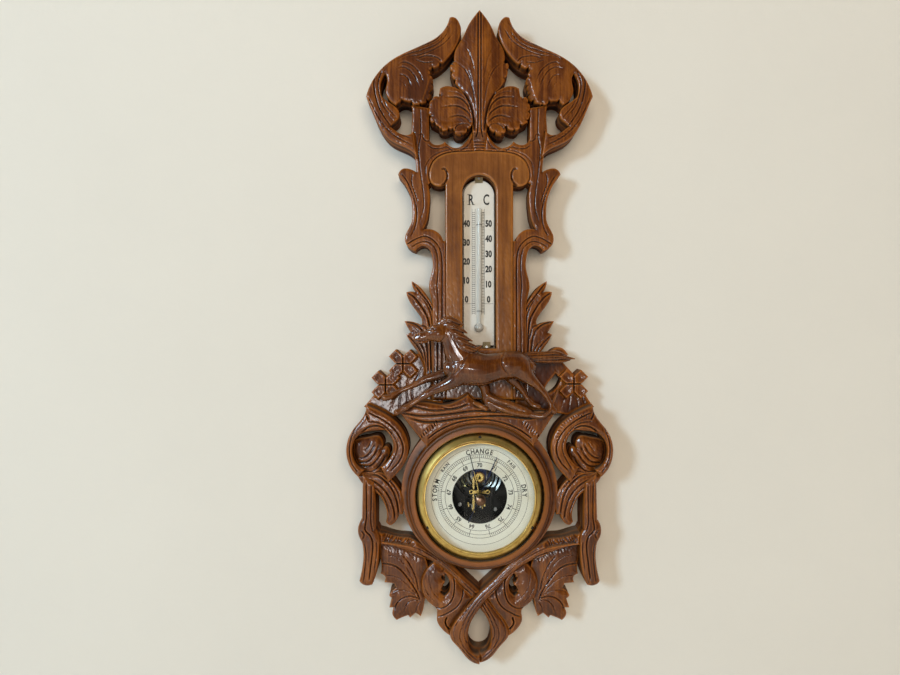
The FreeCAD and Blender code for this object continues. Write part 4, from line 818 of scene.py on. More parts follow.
both("volute_leaf", [
    groove([(-103, 52), (-108, 42), (-115, 35), (-125, 33.5)], 1.3, 2.2, fold=2.4, taper=0.15),
    groove([(-99.5, 46), (-106, 36), (-114, 30), (-125, 30)], 1.3, 2.4, fold=2.4, taper=0.15),
    groove([(-107, 54), (-111, 46), (-117, 40), (-124, 38)], 1.3, 2.0, fold=2.4, taper=0.15),
    groove([(-96.5, 40), (-102, 31), (-110, 25), (-120, 25)], 1.2, 1.8, fold=2.0, taper=0.15),
    groove([(-111, 56), (-114, 50), (-118, 46)], 1.1, 1.2, fold=2.0),
], crown=(12, 5.0), roundness=2.5)

both("drooping_leaf", [
    groove([(-116, 22), (-104, 20), (-94.5, 12.5), (-88, 3), (-84.5, -8), (-83, -19)], 1.4, 2.4, fold=1.8,
           taper=0.05),
    groove([(-119, 18), (-107, 13.5), (-98, 6), (-91.5, -4), (-88, -15), (-87, -24)], 1.4, 2.2, fold=1.8,
           taper=0.05),
    groove([(-118, 14), (-106, 7), (-98.5, -2), (-94, -13), (-92, -22)], 1.3, 1.8, fold=1.8),
    groove([(-100, 21.5), (-91, 14), (-84, 4), (-81, -8)], 1.2, 1.4, fold=1.6),
], crown=(7, 2.6), roundness=1.8)

both("post", [
    groove([(-115.8, 16), (-115.6, -6), (-115.6, -22), (-116.8, -34), (-111, -41), (-109, -51),
            (-111, -70), (-113, -86)], 1.3, 2.2, taper=0.04),
    groove([(-110.5, 12), (-110.7, -8), (-111, -26), (-109, -36)], 1.2, 1.8, taper=0.05),
    groove([(-117.5, -48), (-116, -60), (-117.5, -78), (-119, -88)], 1.1, 1.6, taper=0.05),
    groove([(-105.5, -46), (-105, -56), (-107.5, -76)], 1.1, 1.5, taper=0.08),
    groove([(-122, -34), (-118, -39), (-121, -45)], 1.1, 1.6, fold=1.8, taper=0.2),
], crown=(5, 3.2), roundness=2.4)

BRANCH_CUTS = [
    groove([(-104, -52), (-88, -54.5), (-70, -57.5), (-56, -63.5), (-40, -75), (-25, -87.5), (-8, -102)],
           1.1, 1.8, fold=1.6, taper=0.04),
    groove([(-103, -47), (-84, -49.5), (-68, -52.5), (-54, -59), (-38, -70), (-20, -86), (-4, -101),
            (8, -115), (17, -131), (20, -144), (13, -158), (3, -167)], 0.9, 1.2, taper=0.02),
    groove([(-60, -53), (-46, -62), (-32, -72.5), (-18, -85)], 0.7, 0.8, taper=0.1),
    groove([(-4, -103), (6, -117), (13, -131), (15.5, -143), (9, -156), (2, -162.5)], 0.9, 1.3, taper=0.05),
    groove([(6, -107), (16, -120), (25, -133), (26, -144), (17, -157), (7, -167)], 0.8, 1.1, taper=0.05),
]


def bark_ledge(points, edge):
    """Rough, sunken bark along the branch's upper edge."""
    x, y = np.abs(points[:, 0]), points[:, 1]
    ledge = np.clip((x - 66) / 6, 0, 1) * np.clip((101 - x) / 4, 0,
                                                  1) * np.clip((y + 48.5 + 0.14 * (100 - x)) / 2, 0, 1)
    rough = 1.5 * np.abs(np.sin(0.9 * x + 0.5 * y + 0.8 * np.sin(0.6 * x))) + 0.4 * np.sin(0.31 * x)
    return ledge * (3.4 + rough)


both("lower_branch", BRANCH_CUTS, crown=(5.5, 3.0), roundness=2.2, shape=bark_ledge)

both("vine_leaf", [
    groove([(-101.5, -71.0), (-90.5, -72.6), (-81.4, -77.6), (-72, -89), (-64.6, -101), (-61.5, -109)],
           1.1, 2.0, fold=1.8, taper=0.05),
    groove([(-79, -63), (-72, -72), (-66, -85), (-62.5, -100)], 1.0, 1.5, fold=1.6, taper=0.06),
    groove([(-97, -62), (-87, -64), (-79.5, -69.5), (-72.5, -80), (-67, -92)], 0.7, 0.8, fold=1.4,
           taper=0.08),
    groove([(-98.5, -83), (-89, -84), (-80, -88), (-71, -96), (-65, -103)], 0.7, 0.9, fold=1.4, taper=0.08),
    groove([(-62, -107), (-71, -104.6), (-79, -106.6), (-85, -112), (-88, -120)], 1.0, 1.7, fold=1.8,
           taper=0.08),
    groove([(-61.5, -109), (-69, -108.6), (-75, -113), (-78.5, -122)], 0.8, 1.1, fold=1.6, taper=0.08),
    groove([(-60.5, -110), (-64, -114.5), (-65.5, -121)], 0.8, 1.0, fold=1.4, taper=0.1),
    groove([(-91, -101.5), (-83, -98.5), (-74, -99.5), (-65, -103.5)], 0.7, 0.8, fold=1.4, taper=0.08),
], crown=(10, 2.2), roundness=1.0)

both("curled_leaf", [
    groove([(-62.8, -72), (-63, -89), (-59.4, -105.5), (-52, -116.5), (-42.5, -120)], 1.2, 2.4, fold=1.4,
           taper=0.06),
    groove([(-38.5, -67.8), (-29.5, -77.8), (-25.8, -89), (-26.6, -102), (-31.2, -111.2), (-40.5, -116),
            (-50, -113.5)], 1.1, 2.4, taper=0.06),
    groove([(-22, -78), (-18.2, -88), (-17, -101), (-22, -113), (-33, -120.6), (-42.5, -125)], 1.1, 2.2,
           taper=0.06),
    groove([(-57.5, -80), (-57, -92), (-52.5, -102), (-45, -110)], 0.7, 0.9, fold=1.4, taper=0.1),
    groove([(-52.5, -76), (-51.5, -89), (-48, -98.5), (-42, -106)], 0.7, 0.9, fold=1.4, taper=0.1),
    groove([(-33.5, -124.5), (-35, -131), (-31, -137.5), (-25, -140)], 1.5, 4.2, taper=0.1),
    groove([(-43.5, -126), (-42, -135), (-34.5, -145)], 0.9, 1.3, taper=0.08),
], crown=(9, 3.2), roundness=1.5, teeth=[(33, 42, -100, -76)])

carve("carved_panel", "thermometer_panel", crown=(3, 0.45), roundness=2.0, step=1.0, look=PLAIN_BOARD,
      cuts=on_both_halves([
          groove([(-38.8, 336.2), (-35.8, 336.2), (-33.4, 331.5), (-33.6, 325.5), (-36, 321.4),
                  (-40.5, 318)], 1.3, 3.4, taper=0.06),
      ]))


# ---------------------------------------------------------------------------------------------
# Blossoms
# ---------------------------------------------------------------------------------------------
def joined_piece(name, objects, nodes):
    """One object from several that share a material, standing for these CAD nodes."""
    vertices, faces = [], []
    for obj in objects:
        start = len(vertices)
        vertices += [tuple(v.co) for v in obj.data.vertices]
        faces += [tuple(start + i for i in face.vertices) for face in obj.data.polygons]
        slot = obj["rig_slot"]
        bpy.data.objects.remove(obj)
    obj = new_piece(name, vertices, faces, slot)
    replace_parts(obj, *nodes)
    return obj


PETAL_FRONT, BACKING_FRONT, SPRAY_BACK = 24.0, 19.0, 14.0


def blossom_spray(word, centres):
    """Blossoms of four petals, parted by two crossing cuts, before a veined backing."""
    node = "blossom_spray_" + word
    cuts = []
    for x, y in centres:
        cuts.append(groove([(x - 10.5, y), (x + 10.5, y)], 1.1, 4.5, taper=0.02))
        cuts.append(groove([(x, y - 10.5), (x, y + 10.5)], 1.1, 4.5, taper=0.02))

    def dished(points, edge):
        """Each petal sinks a little in its middle."""
        sunk = np.zeros(len(points))
        for x, y in centres:
            for quarter in range(4):
                turn = math.radians(45 + 90 * quarter)
                away = points - (x + 9.5 * math.cos(turn), y + 9.5 * math.sin(turn))
                sunk += 0.9 * np.exp(-(away ** 2).sum(1) / 22)
        return sunk

    petals = carve("petals", None, crown=(2.2, 0.5), roundness=0.9, cuts=cuts, shape=dished,
                   loops=cap_loops(node)[0], level=PETAL_FRONT, back=SPRAY_BACK)
    x = centres[0][0]
    veins = [groove([(x + dx, 84), (x + dx * 0.6, 108), (x + dx * 1.4, 132)], 1.0, 1.0)
             for dx in (-14, -5, 6, 15)]
    backing = carve("backing", None, crown=(3, 0.6), roundness=1.0, cuts=veins, step=1.1,
                    loops=cap_loops(node, BACKING_FRONT)[0], level=BACKING_FRONT, back=SPRAY_BACK)
    joined_piece("carved_" + node, [petals, backing], [node])


blossom_spray("left", [(-79, 135), (-97, 113)])
blossom_spray("right", [(98, 114)])


# ---------------------------------------------------------------------------------------------
# The horse
# ---------------------------------------------------------------------------------------------
def loft(stations, around=20, per_span=5):
    """A closed tube through (x, y, h, half in the wall's plane, half off the wall)."""
    path = spline(stations, per_span)
    ahead = np.gradient(path[:, :2], axis=0)
    ahead /= np.maximum(np.hypot(*ahead.T), 1e-9)[:, None]
    aside = np.column_stack([-ahead[:, 1], ahead[:, 0]])
    caps = [(0, -0.85, 0.5), (0, -0.45, 0.86)], [(-1, 0.45, 0.86), (-1, 0.85, 0.5)]
    rings = []
    for at, forward, size in caps[0] + [(i, 0, 1) for i in range(len(path))] + caps[1]:
        x, y, h, wide, deep = path[at]
        wide, deep = max(wide, 0.4), max(deep, 0.4)
        middle = np.array([x, y]) + ahead[at] * forward * min(wide, deep)
        rings.append([(*(middle + aside[at] * wide * size * math.cos(turn)),
                       h + deep * size * math.sin(turn))
                      for turn in np.linspace(0, 2 * math.pi, around, endpoint=False)])
    vertices = [place(*point) for ring in rings for point in ring]
    faces = []
    for ring in range(len(rings) - 1):
        for i in range(around):
            j = (i + 1) % around
            faces.append((ring * around + i, ring * around + j, (ring + 1) * around + j,
                          (ring + 1) * around + i))
    faces.append(tuple(range(around))[::-1])
    faces.append(tuple((len(rings) - 1) * around + i for i in range(around)))
    return vertices, faces


def fused(name, parts, slot, voxel, smoothing):
    """One skin over overlapping closed shapes."""
    vertices, faces = [], []
    for part_vertices, part_faces in parts:
        start = len(vertices)
        vertices += part_vertices
        faces += [tuple(start + i for i in face) for face in part_faces]
    mesh = bpy.data.meshes.new(name)
    mesh.from_pydata(vertices, [], faces)
    obj = placed(name, mesh)
    work = bmesh.new()
    work.from_mesh(mesh)
    bmesh.ops.recalc_face_normals(work, faces=work.faces)
    work.to_mesh(mesh)
    work.free()
    remesh = obj.modifiers.new("skin", "REMESH")
    remesh.mode = "VOXEL"
    remesh.voxel_size = voxel * MM
    smooth = obj.modifiers.new("soften", "SMOOTH")
    smooth.factor = 0.5
    smooth.iterations = smoothing
    skin = bpy.data.meshes.new_from_object(obj.evaluated_get(bpy.context.evaluated_depsgraph_get()))
    obj.modifiers.clear()
    obj.data = skin
    return dressed(obj, slot)


def scored(obj, cuts, dimples=()):
    """Press cuts and round dimples into the front of a solid shape, along its surface's own direction."""
    mesh = obj.data
    count = len(mesh.vertices)
    corners = np.empty(count * 3)
    mesh.vertices.foreach_get("co", corners)
    corners = corners.reshape(-1, 3)
    normals = np.empty(count * 3)
    mesh.vertices.foreach_get("normal", normals)
    normals = normals.reshape(-1, 3)
    points = np.column_stack([corners[:, 0], corners[:, 2] - DIAL_Z]) / MM
    press = sum(cut_depth(points, cut) for cut in cuts)
    for x, y, radius, depth in dimples:
        press = press + depth * np.exp(-((points - (x, y)) ** 2).sum(1) / radius ** 2)
    press *= np.clip(-normals[:, 1] * 2.0, 0, 1)
    corners -= normals * press[:, None] * MM
    mesh.vertices.foreach_set("co", corners.ravel())
    mesh.update()


HORSE = [
    # barrel
    [(-31, 131, 41, 9, 7), (-25, 131, 42, 15, 10.5), (-13, 131.5, 42.5, 18, 12.5),
     (2, 130, 42.5, 16.3, 12.8),
     (17, 132.5, 42, 13.8, 11.5), (31, 134.5, 42, 14.2, 12), (42, 133.5, 41, 12.6, 11),
     (49, 132, 40, 8.5, 8)],
    # neck
    [(-13, 137, 42, 16, 11), (-21, 147, 43.5, 14.6, 9.5), (-27, 158, 45, 11.6, 7.8),
     (-32, 167.5, 46.5, 9.6, 6.8),
     (-35.5, 173, 46.5, 7.5, 5.8)],
    # head
    [(-35.5, 170, 46.5, 9.0, 6.4), (-41, 166.5, 47.5, 9.4, 6.8), (-47.5, 165.3, 47.8, 7.3, 5.6),
     (-54, 163.6, 47.6, 5.6, 4.6), (-60, 162.0, 47.4, 5.3, 4.5), (-63.5, 161.4, 47.2, 4.0, 3.7)],
    # brow and nostril
    [(-50.5, 171.3, 49.5, 1.4, 2.2), (-46.5, 172.5, 50, 2.0, 3.0), (-42, 172.5, 50, 1.6, 2.4)],
    [(-64.2, 164.3, 48.5, 1.5, 2.4), (-61, 165.4, 49.5, 1.9, 2.6), (-58, 165.5, 49, 1.3, 2.0)],
    # lips
    [(-65, 160.8, 48, 1.3, 2.6), (-60.5, 159.8, 48.6, 1.4, 3.0), (-57, 160, 48.4, 1.0, 2.4)],
    [(-63.2, 157.6, 47.6, 1.5, 2.8), (-58.5, 157.4, 48.2, 1.5, 3.0), (-54, 158.2, 48, 1.4, 2.6)],
    # ears
    [(-38.5, 175, 48.5, 2.6, 2.2), (-35.8, 179, 49, 2.4, 1.8), (-33.4, 182.6, 49, 0.7, 0.8)],
    [(-40.5, 175.5, 44, 2.2, 2.0), (-38.6, 178.5, 43.5, 1.9, 1.6), (-37, 181, 43.5, 0.6, 0.7)],
    # near shoulder and foreleg
    [(-17, 132, 46, 12, 7.5), (-22, 123, 45.5, 9.5, 7), (-28, 117.5, 44.5, 7.0, 5.8),
     (-38, 112.6, 43, 5.4, 4.8),
     (-48, 108.2, 42, 4.2, 4.0), (-53.5, 105, 42, 4.0, 3.9), (-61, 100.3, 41.8, 2.7, 2.8),
     (-70, 94.5, 41.8, 2.5, 2.6), (-75, 91.6, 42, 3.2, 3.1), (-79, 89.3, 42, 2.6, 2.8),
     (-84, 86.8, 42.5, 3.4, 3.2)],
    # far foreleg
    [(-24, 126, 34, 8, 6), (-34, 125.5, 33, 5.8, 4.8), (-46, 122, 32, 4.5, 4.2), (-56, 119, 31.5, 3.9, 3.9),
     (-62, 116, 31.5, 3.4, 3.5), (-72, 111.3, 31.5, 2.5, 2.6), (-82, 107, 31.5, 2.5, 2.6),
     (-88, 104, 32, 3.2, 3.1), (-91, 101.5, 32.5, 2.9, 3.0), (-97, 100.5, 33, 3.4, 3.2)],
    # near haunch and hind leg
    [(35, 136, 45, 12, 7.5), (42, 129, 44.5, 11, 7.5), (48, 122.5, 43.5, 7.6, 6.2), (54, 117, 42.5, 5.4, 5),
     (60, 111.5, 42, 3.8, 4), (65, 106, 42, 3.2, 3.5), (68, 101, 42, 2.6, 2.9), (71, 95.5, 42, 2.5, 2.7),
     (72.5, 91.5, 42, 3.0, 3.1), (74.5, 88, 42, 3.3, 3.2)],
    # far hind leg
    [(28, 128, 37, 8.5, 7), (33, 120.5, 36, 6.4, 6), (39, 114, 35, 4.6, 5), (43.5, 108, 34.5, 3.3, 4),
     (47, 102, 34.5, 2.6, 3.2), (50, 97.5, 35, 2.7, 3.2), (54, 93.5, 36, 3.2, 3.4), (60, 91.5, 37, 2.6, 3)],
]
MANE = [
    [(-42, 176, 48, 1.6, 2), (-34, 179.5, 49.5, 3.4, 3), (-26, 178.5, 49.5, 3.2, 2.8),
     (-17, 174.5, 48, 0.7, 1)],
    [(-38, 175, 49, 2, 2.4), (-30, 174, 51, 3.4, 2.8), (-22, 171, 50.5, 3.0, 2.8),
     (-13, 166.5, 48, 0.7, 1)],
    [(-34, 172, 50, 2, 2.2), (-26, 167, 51.5, 3.4, 2.8), (-18, 163, 51, 3.0, 2.6), (-8, 158.6, 48, 0.7, 1)],
    [(-30, 166, 50, 2, 2.2), (-22, 160, 51.5, 3.2, 2.6), (-14, 156, 51, 2.8, 2.4),
     (-3.5, 153.2, 47.5, 0.7, 1)],
    [(-24, 158, 50.5, 1.6, 2), (-16, 152.5, 52, 2.8, 2.4), (-8, 149.8, 51, 2.5, 2.2),
     (-2, 151.6, 49, 1.6, 1.6),
     (1.5, 154, 47, 0.6, 0.8)],
]
TAIL = [
    [(42, 141.5, 39, 4, 4), (52, 144.5, 36, 3.4, 4), (64, 144.8, 34.5, 3.0, 3.5),
     (78, 146.4, 33.5, 2.4, 3), (89, 143.6, 32.5, 0.6, 1)],
    [(44, 139.5, 39, 4, 4), (56, 141.5, 36.5, 3.0, 4), (70, 141.8, 35, 3.0, 3.6), (84, 142, 33.8, 2.4, 3),
     (97.3, 140.3, 32.5, 0.6, 1)],
    [(46, 138, 37, 3, 4), (58, 138.6, 35.5, 2.6, 3.6), (72, 138.3, 34.5, 2.6, 3.2),
     (84, 138.2, 33.5, 1.8, 2.4), (92, 139, 32.5, 0.6, 1)],
]
STUMP = [
    [(0, 120, 36, 6, 7), (5, 111, 34.5, 5.2, 7), (6.5, 103, 34, 5, 7), (8, 96, 35, 5.5, 7),
     (14, 91, 36, 5.5, 7)],
    [(8, 103, 38, 3, 4), (16, 99, 39, 3.4, 4), (28, 95.5, 39.5, 3.4, 4), (40, 90.5, 40, 3.6, 4),
     (50, 86, 40.5, 3.4, 4)],
    [(10, 96, 39, 3, 4), (22, 90.5, 40.5, 3.4, 4), (36, 86.5, 41, 3.4, 4), (48, 84.5, 41, 3.2, 4)],
    [(46, 86, 40, 3.5, 4), (56, 83.2, 41, 3.2, 4), (64, 83.5, 42, 2.8, 4), (70, 88.5, 42, 2.4, 4),
     (72.5, 95, 41, 2.2, 3.5),
     (76, 101.5, 37, 1.8, 3), (80, 108, 30, 1.2, 3)],
    [(-6, 96, 40, 2, 3), (0, 93.5, 41.5, 2.6, 3), (6, 90, 42, 2.2, 3)],
]
horse = fused("carved_horse", [loft(run) for run in HORSE + MANE + TAIL + STUMP], "horse_wood",
              voxel=0.62, smoothing=2)
scored(horse, [
    groove([(-66, 160.2), (-61.5, 158.8), (-56, 159.2)], 0.9, 1.3),
    groove([(-55, 160), (-50, 158.8), (-45, 157.5), (-38.5, 158.5), (-35, 163)], 1.0, 0.9, fold=1.6),
    groove([(-58, 168.5), (-53, 167.8), (-49, 166.4)], 0.8, 0.8),
    groove([(-51, 170), (-47.5, 170.6), (-44.5, 169.3)], 0.7, 0.9),
    groove([(-51, 168.2), (-47.5, 167.2), (-44.5, 168.4)], 0.6, 0.7),
    groove([(-9, 147), (-15, 141), (-20, 132), (-27, 124)], 1.8, 1.1, fold=1.5),
    groove([(-34, 150), (-29, 141), (-26, 131), (-29, 122)], 1.5, 0.9, fold=1.5),
    groove([(24.5, 148), (21, 139), (24, 130), (31, 122.5)], 2.0, 1.3, fold=1.5),
    groove([(-12, 117), (0, 115.5), (14, 119)], 1.4, 0.6),
    groove([(47, 143), (50, 136), (50, 128)], 1.4, 0.9),
    groove([(-30, 113), (-40, 109.5), (-50, 105)], 0.9, 0.6),
    groove([(56, 119), (61, 112), (65, 105)], 0.8, 0.6),
] + [groove([(x, y), (x + 9, y - 4), (x + 17, y - 7.5)], 0.7, 0.9)
     for x, y in ((-35, 181), (-34, 178), (-31, 175), (-28, 171.5), (-27, 168), (-24, 164), (-22, 161),
                  (-18, 157), (-16, 153.5))]
  + [groove([(46, y), (62, y + 1.0), (78, y + 1.6), (91, 141 + (y - 141) * 0.4)], 0.8, 1.2)
     for y in (137.5, 140.2, 142.8, 145.4)],
       dimples=[(-62.5, 165.0, 1.1, 1.2), (-47.6, 168.7, 1.3, -0.9), (-36, 178.5, 1.0, 0.9)])
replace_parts(horse, "horse")


# ---------------------------------------------------------------------------------------------
# Print on the dial and on the thermometer plate
# ---------------------------------------------------------------------------------------------
def polar(radius, angle):
    """The point at this radius and angle, in degrees clockwise from the top."""
    return radius * math.sin(math.radians(angle)), radius * math.cos(math.radians(angle))


class Print:
    """Flat printed marks, gathered into one mesh just proud of the surface under them."""

    def __init__(self, level, thickness=0.03):
        self.level, self.thickness = level, thickness
        self.vertices, self.faces = [], []

    def prism(self, outline):
        """A thin solid on a convex outline given anticlockwise."""
        start, count = len(self.vertices), len(outline)
        for h in (self.level, self.level + self.thickness):
            self.vertices += [place(x, y, h) for x, y in outline]
        self.faces.append(tuple(start + i for i in reversed(range(count))))
        self.faces.append(tuple(start + count + i for i in range(count)))
        for i in range(count):
            j = (i + 1) % count
            self.faces.append((start + i, start + j, start + count + j, start + count + i))

    def bar(self, first, second, width):
        """A straight line between two points."""
        (x0, y0), (x1, y1) = first, second
        length = math.hypot(x1 - x0, y1 - y0)
        dx, dy = -(y1 - y0) / length * width / 2, (x1 - x0) / length * width / 2
        self.prism([(x0 - dx, y0 - dy), (x1 - dx, y1 - dy), (x1 + dx, y1 + dy), (x0 + dx, y0 + dy)])

    def ring(self, radius, width, steps=180):
        """A circle about the dial's centre."""
        for i in range(steps):
            a, b = (2 * math.pi * (i + k) / steps for k in (0, 1))
            inner, outer = radius - width / 2, radius + width / 2
            self.prism([(inner * math.cos(a), inner * math.sin(a)), (outer * math.cos(a),
                                                                     outer * math.sin(a)),
                        (outer * math.cos(b), outer * math.sin(b)), (inner * math.cos(b),
                                                                     inner * math.sin(b))])

    def spoke(self, angle, inner, outer, width):
        """A tick at an angle clockwise from the top."""
        self.bar(polar(inner, angle), polar(outer, angle), width)

    def text(self, words, x, y, height, turn=0.0, wide=1.0, bold=0.0):
        """Centred text, its middle at x, y, turned clockwise by this many degrees."""
        data = bpy.data.curves.new("text", "FONT")
        data.body = words
        data.size = 1.0
        data.offset = bold
        data.resolution_u = 3
        obj = bpy.data.objects.new("text", data)
        mesh = bpy.data.meshes.new_from_object(obj)
        corners = np.array([v.co for v in mesh.vertices])[:, :2]
        middle = (corners.min(0) + corners.max(0)) / 2
        corners = (corners - middle) * (height / 0.70 * wide, height / 0.70)
        sine, cosine = math.sin(math.radians(-turn)), math.cos(math.radians(-turn))
        turned = corners @ np.array([[cosine, sine], [-sine, cosine]]) + (x, y)
        start, count = len(self.vertices), len(turned)
        edges = defaultdict(int)
        for face in mesh.polygons:
            ids = list(face.vertices)
            for i, j in zip(ids, ids[1:] + ids[:1]):
                edges[(i, j)] += 1
        for h in (self.level, self.level + self.thickness):
            self.vertices += [place(px, py, h) for px, py in turned]
        for face in mesh.polygons:
            ids = list(face.vertices)
            self.faces.append(tuple(start + i for i in reversed(ids)))
            self.faces.append(tuple(start + count + i for i in ids))
        for i, j in edges:
            if (j, i) not in edges:
                self.faces.append((start + i, start + j, start + count + j, start + count + i))
        bpy.data.objects.remove(obj)
        bpy.data.curves.remove(data)

    def round_text(self, words, radius, middle, height, bold):
        """Letters round a circle, tops outward, the word's middle at an angle clockwise from the top."""
        widths = {"I": 0.45, " ": 0.6, "M": 1.2, "N": 1.05, "C": 1.05, "G": 1.05, "O": 1.1}
        advance = [widths.get(letter, 0.95) * height for letter in words]
        reach = -sum(advance) / 2
        for letter, step in zip(words, advance):
            angle = middle + math.degrees((reach + step / 2) / radius)
            reach += step
            if letter != " ":
                self.text(letter, *polar(radius, angle), height, angle, 0.85, bold)

    def done(self, name):
        """Make the one inked object from all the marks."""
        obj = new_piece(name, self.vertices, self.faces, None, sharp=30)
        obj.data.materials.append(INK)


DIAL_FRONT = 33.0
dial_print = Print(DIAL_FRONT)
SPACING, LOWEST_MARK, HIGHEST_MARK, TENTHS = 27.5, 64, 76, 10
INNER_RING, MIDDLE_RING, OUTER_RING, EDGE_RING = 35.3, 39.3, 42.7, 49.5
NUMBER_RADIUS, WORD_RADIUS = 31.8, 46.1
for radius, width in ((INNER_RING, 0.42), (MIDDLE_RING, 0.34), (OUTER_RING, 0.42), (EDGE_RING, 0.32)):
    dial_print.ring(radius, width)
for mark in range((HIGHEST_MARK - LOWEST_MARK) * TENTHS + 1):
    angle = SPACING * (mark / TENTHS - (HIGHEST_MARK - LOWEST_MARK) / 2)
    if mark % TENTHS == 0:
        dial_print.spoke(angle, INNER_RING, OUTER_RING, 0.55)
        number = LOWEST_MARK + mark // TENTHS
        dial_print.text(str(number), *polar(NUMBER_RADIUS, angle), 4.2, angle, 0.9, 0.03)
    else:
        dial_print.spoke(angle, MIDDLE_RING, OUTER_RING - 0.7 if mark % 5 else OUTER_RING, 0.46)
for word, middle, height in (("STORM", -82, 4.7), ("RAIN", -50, 3.4), ("CHANGE", 0, 4.9), ("FAIR", 45, 3.4),
                             ("DRY", 83, 4.7)):
    dial_print.round_text(word, WORD_RADIUS, middle, height, 0.03)
dial_print.done("dial_print")

SCALE_FRONT = 14.2
scale_print = Print(SCALE_FRONT)
ZERO_Y, PER_C, PER_R = 197.5, 1.59, 1.9875
LADDER = {LEFT: (-7.2, -3.9), RIGHT: (2.9, 5.8)}
NUMBER_X = {LEFT: -12.9, RIGHT: 10.2}
LADDER_FOOT, LADDER_TOP = 186, 297
for rails in LADDER.values():
    for x in rails:
        scale_print.bar((x, LADDER_FOOT), (x, LADDER_TOP), 0.35)
for side, per, top in ((LEFT, PER_R, 48), (RIGHT, PER_C, 60)):
    for degree in range(-6, top + 1):
        y = ZERO_Y + per * degree
        if LADDER_FOOT < y < LADDER_TOP - 1:
            scale_print.bar((LADDER[side][0], y), (LADDER[side][1], y), 0.75 if degree % 10 == 0 else 0.5)
    for degree in range(0, top, 10):
        y = ZERO_Y + per * degree
        scale_print.text(str(degree), NUMBER_X[side], y + 4.6, 6.4, 0, 0.74, 0.05)
scale_print.bar((-15.2, ZERO_Y), (LADDER[LEFT][0], ZERO_Y), 0.35)
scale_print.bar((LADDER[RIGHT][1], ZERO_Y), (15.2, ZERO_Y), 0.35)
for letter, x in (("R", -7.9), ("C", 7.7)):
    scale_print.text(letter, x, 306.6, 10.8, 0, 0.62, 0.02)
for x0, x1, y in ((-12.0, -8.8, 301.4), (-7.2, -4.2, 301.4), (-12.0, -8.8, 311.8)):
    scale_print.bar((x0, y), (x1, y), 0.6)
scale_print.done("scale_print")


# ---------------------------------------------------------------------------------------------
# The fusee chain, from the rocker's arm to the hand arbor's drum
# ---------------------------------------------------------------------------------------------
def chain_links():
    """Round links, each turned a quarter from the last, within the CAD chain's own box."""
    (x0, y0, z0), (x1, y1, z1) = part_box("chain")
    middle_x, middle_y = (x0 + x1) / 2, (y0 + y1) / 2
    links, along, across = 14, 10, 6
    pitch = (z1 - z0) / links
    vertices, faces = [], []
    for link in range(links):
        centre = z0 + pitch * (link + 0.5)
        flat = link % 2 == 0
        start = len(vertices)
        for i in range(along):
            turn = 2 * math.pi * i / along
            out, up = 0.00013 * math.cos(turn), pitch * 0.56 * math.sin(turn)
            for j in range(across):
                roll = 2 * math.pi * j / across
                swell = 0.00009 * math.cos(roll)
                thick = 0.00009 * math.sin(roll)
                a, b = out + swell * math.cos(turn), thick
                z = centre + up + swell * math.sin(turn)
                vertices.append((middle_x + (a if flat else b), middle_y + (b if flat else a),
                                 min(max(z, z0), z1)))
        for i in range(along):
            for j in range(across):
                k, m = (i + 1) % along, (j + 1) % across
                faces.append((start + i * across + j, start + k * across + j, start + k * across + m,
                              start + i * across + m))
    mesh = bpy.data.meshes.new("chain_links")
    mesh.from_pydata(vertices, [], faces)
    obj = placed("chain_links", mesh)
    mesh.shade_smooth()
    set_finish(obj, "steel")
    dress(obj, "steel")
    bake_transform(obj)
    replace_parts(obj, "chain")


chain_links()

# ---------------------------------------------------------------------------------------------
# Hands and bezel
# ---------------------------------------------------------------------------------------------
HAND_THICKNESS = 0.5


def hand(name, node, angle, h, stations, slot, body, look=None):
    """A flat hand on the dial's axis: (distance, half width) stations from its tail to its tip."""
    sine, cosine = math.sin(math.radians(angle)), math.cos(math.radians(angle))
    vertices, faces = [], []
    for distance, half in stations:
        for side, level in ((-1, 0), (1, 0), (0.6, 1), (-0.6, 1)):
            x = distance * sine + side * half * cosine
            y = distance * cosine - side * half * sine
            vertices.append(place(x, y, h + level * HAND_THICKNESS))
    for i in range(len(stations) - 1):
        for j in range(4):
            k = (j + 1) % 4
            faces.append((4 * i + j, 4 * i + k, 4 * i + 4 + k, 4 * i + 4 + j))
    last = 4 * (len(stations) - 1)
    faces += [(0, 3, 2, 1), (last, last + 1, last + 2, last + 3)]
    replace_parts(new_piece(name, vertices, faces, slot, body, 30, look), node)


TIPPED = ringed_brass("tipped_brass", [(0, 0)], (0.5, 27.0, 60.0), (0.03, 0.02, 0.012), (0.3, 0.18, 0.08))


def boss(radius):
    """Stations that round out a hand's middle."""
    return [(radius * math.cos(t), max(radius * math.sin(t), 0.4)) for t in np.linspace(math.pi, 0, 7)]


hand("slim_indicator", "indicator_hand", 23.5, 34.6,
     [(-29, 0.5), (-24, 0.9), (-17, 0.55), (-6, 0.5)] + boss(2.6)
     + [(6, 0.5), (19, 0.55), (24, 1.7), (28, 0.6), (36, 0.5), (44, 0.25)], "blued_steel", "indicator")
hand("slim_set_hand", "set_hand", -13.0, 37.1,
     [(-12, 0.4), (-6, 0.5)] + boss(2.6)
     + [(6, 0.6), (24, 0.5), (30, 0.45), (38, 0.4), (46, 0.2)], "brass", "set_hand", look=TIPPED)


def lathe(name, node, profile, slot, steps=160):
    """A turned ring about the dial's axis on a closed (radius, height) profile."""
    vertices = [place(r * math.sin(t), r * math.cos(t), h)
                for t in np.linspace(0, 2 * math.pi, steps, endpoint=False) for r, h in profile]
    count = len(profile)
    faces = [((i * count + j), (i * count + (j + 1) % count),
              ((i + 1) % steps) * count + (j + 1) % count, ((i + 1) % steps) * count + j)
             for i in range(steps) for j in range(count)]
    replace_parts(new_piece(name, vertices, faces, slot, "root", 35), node)


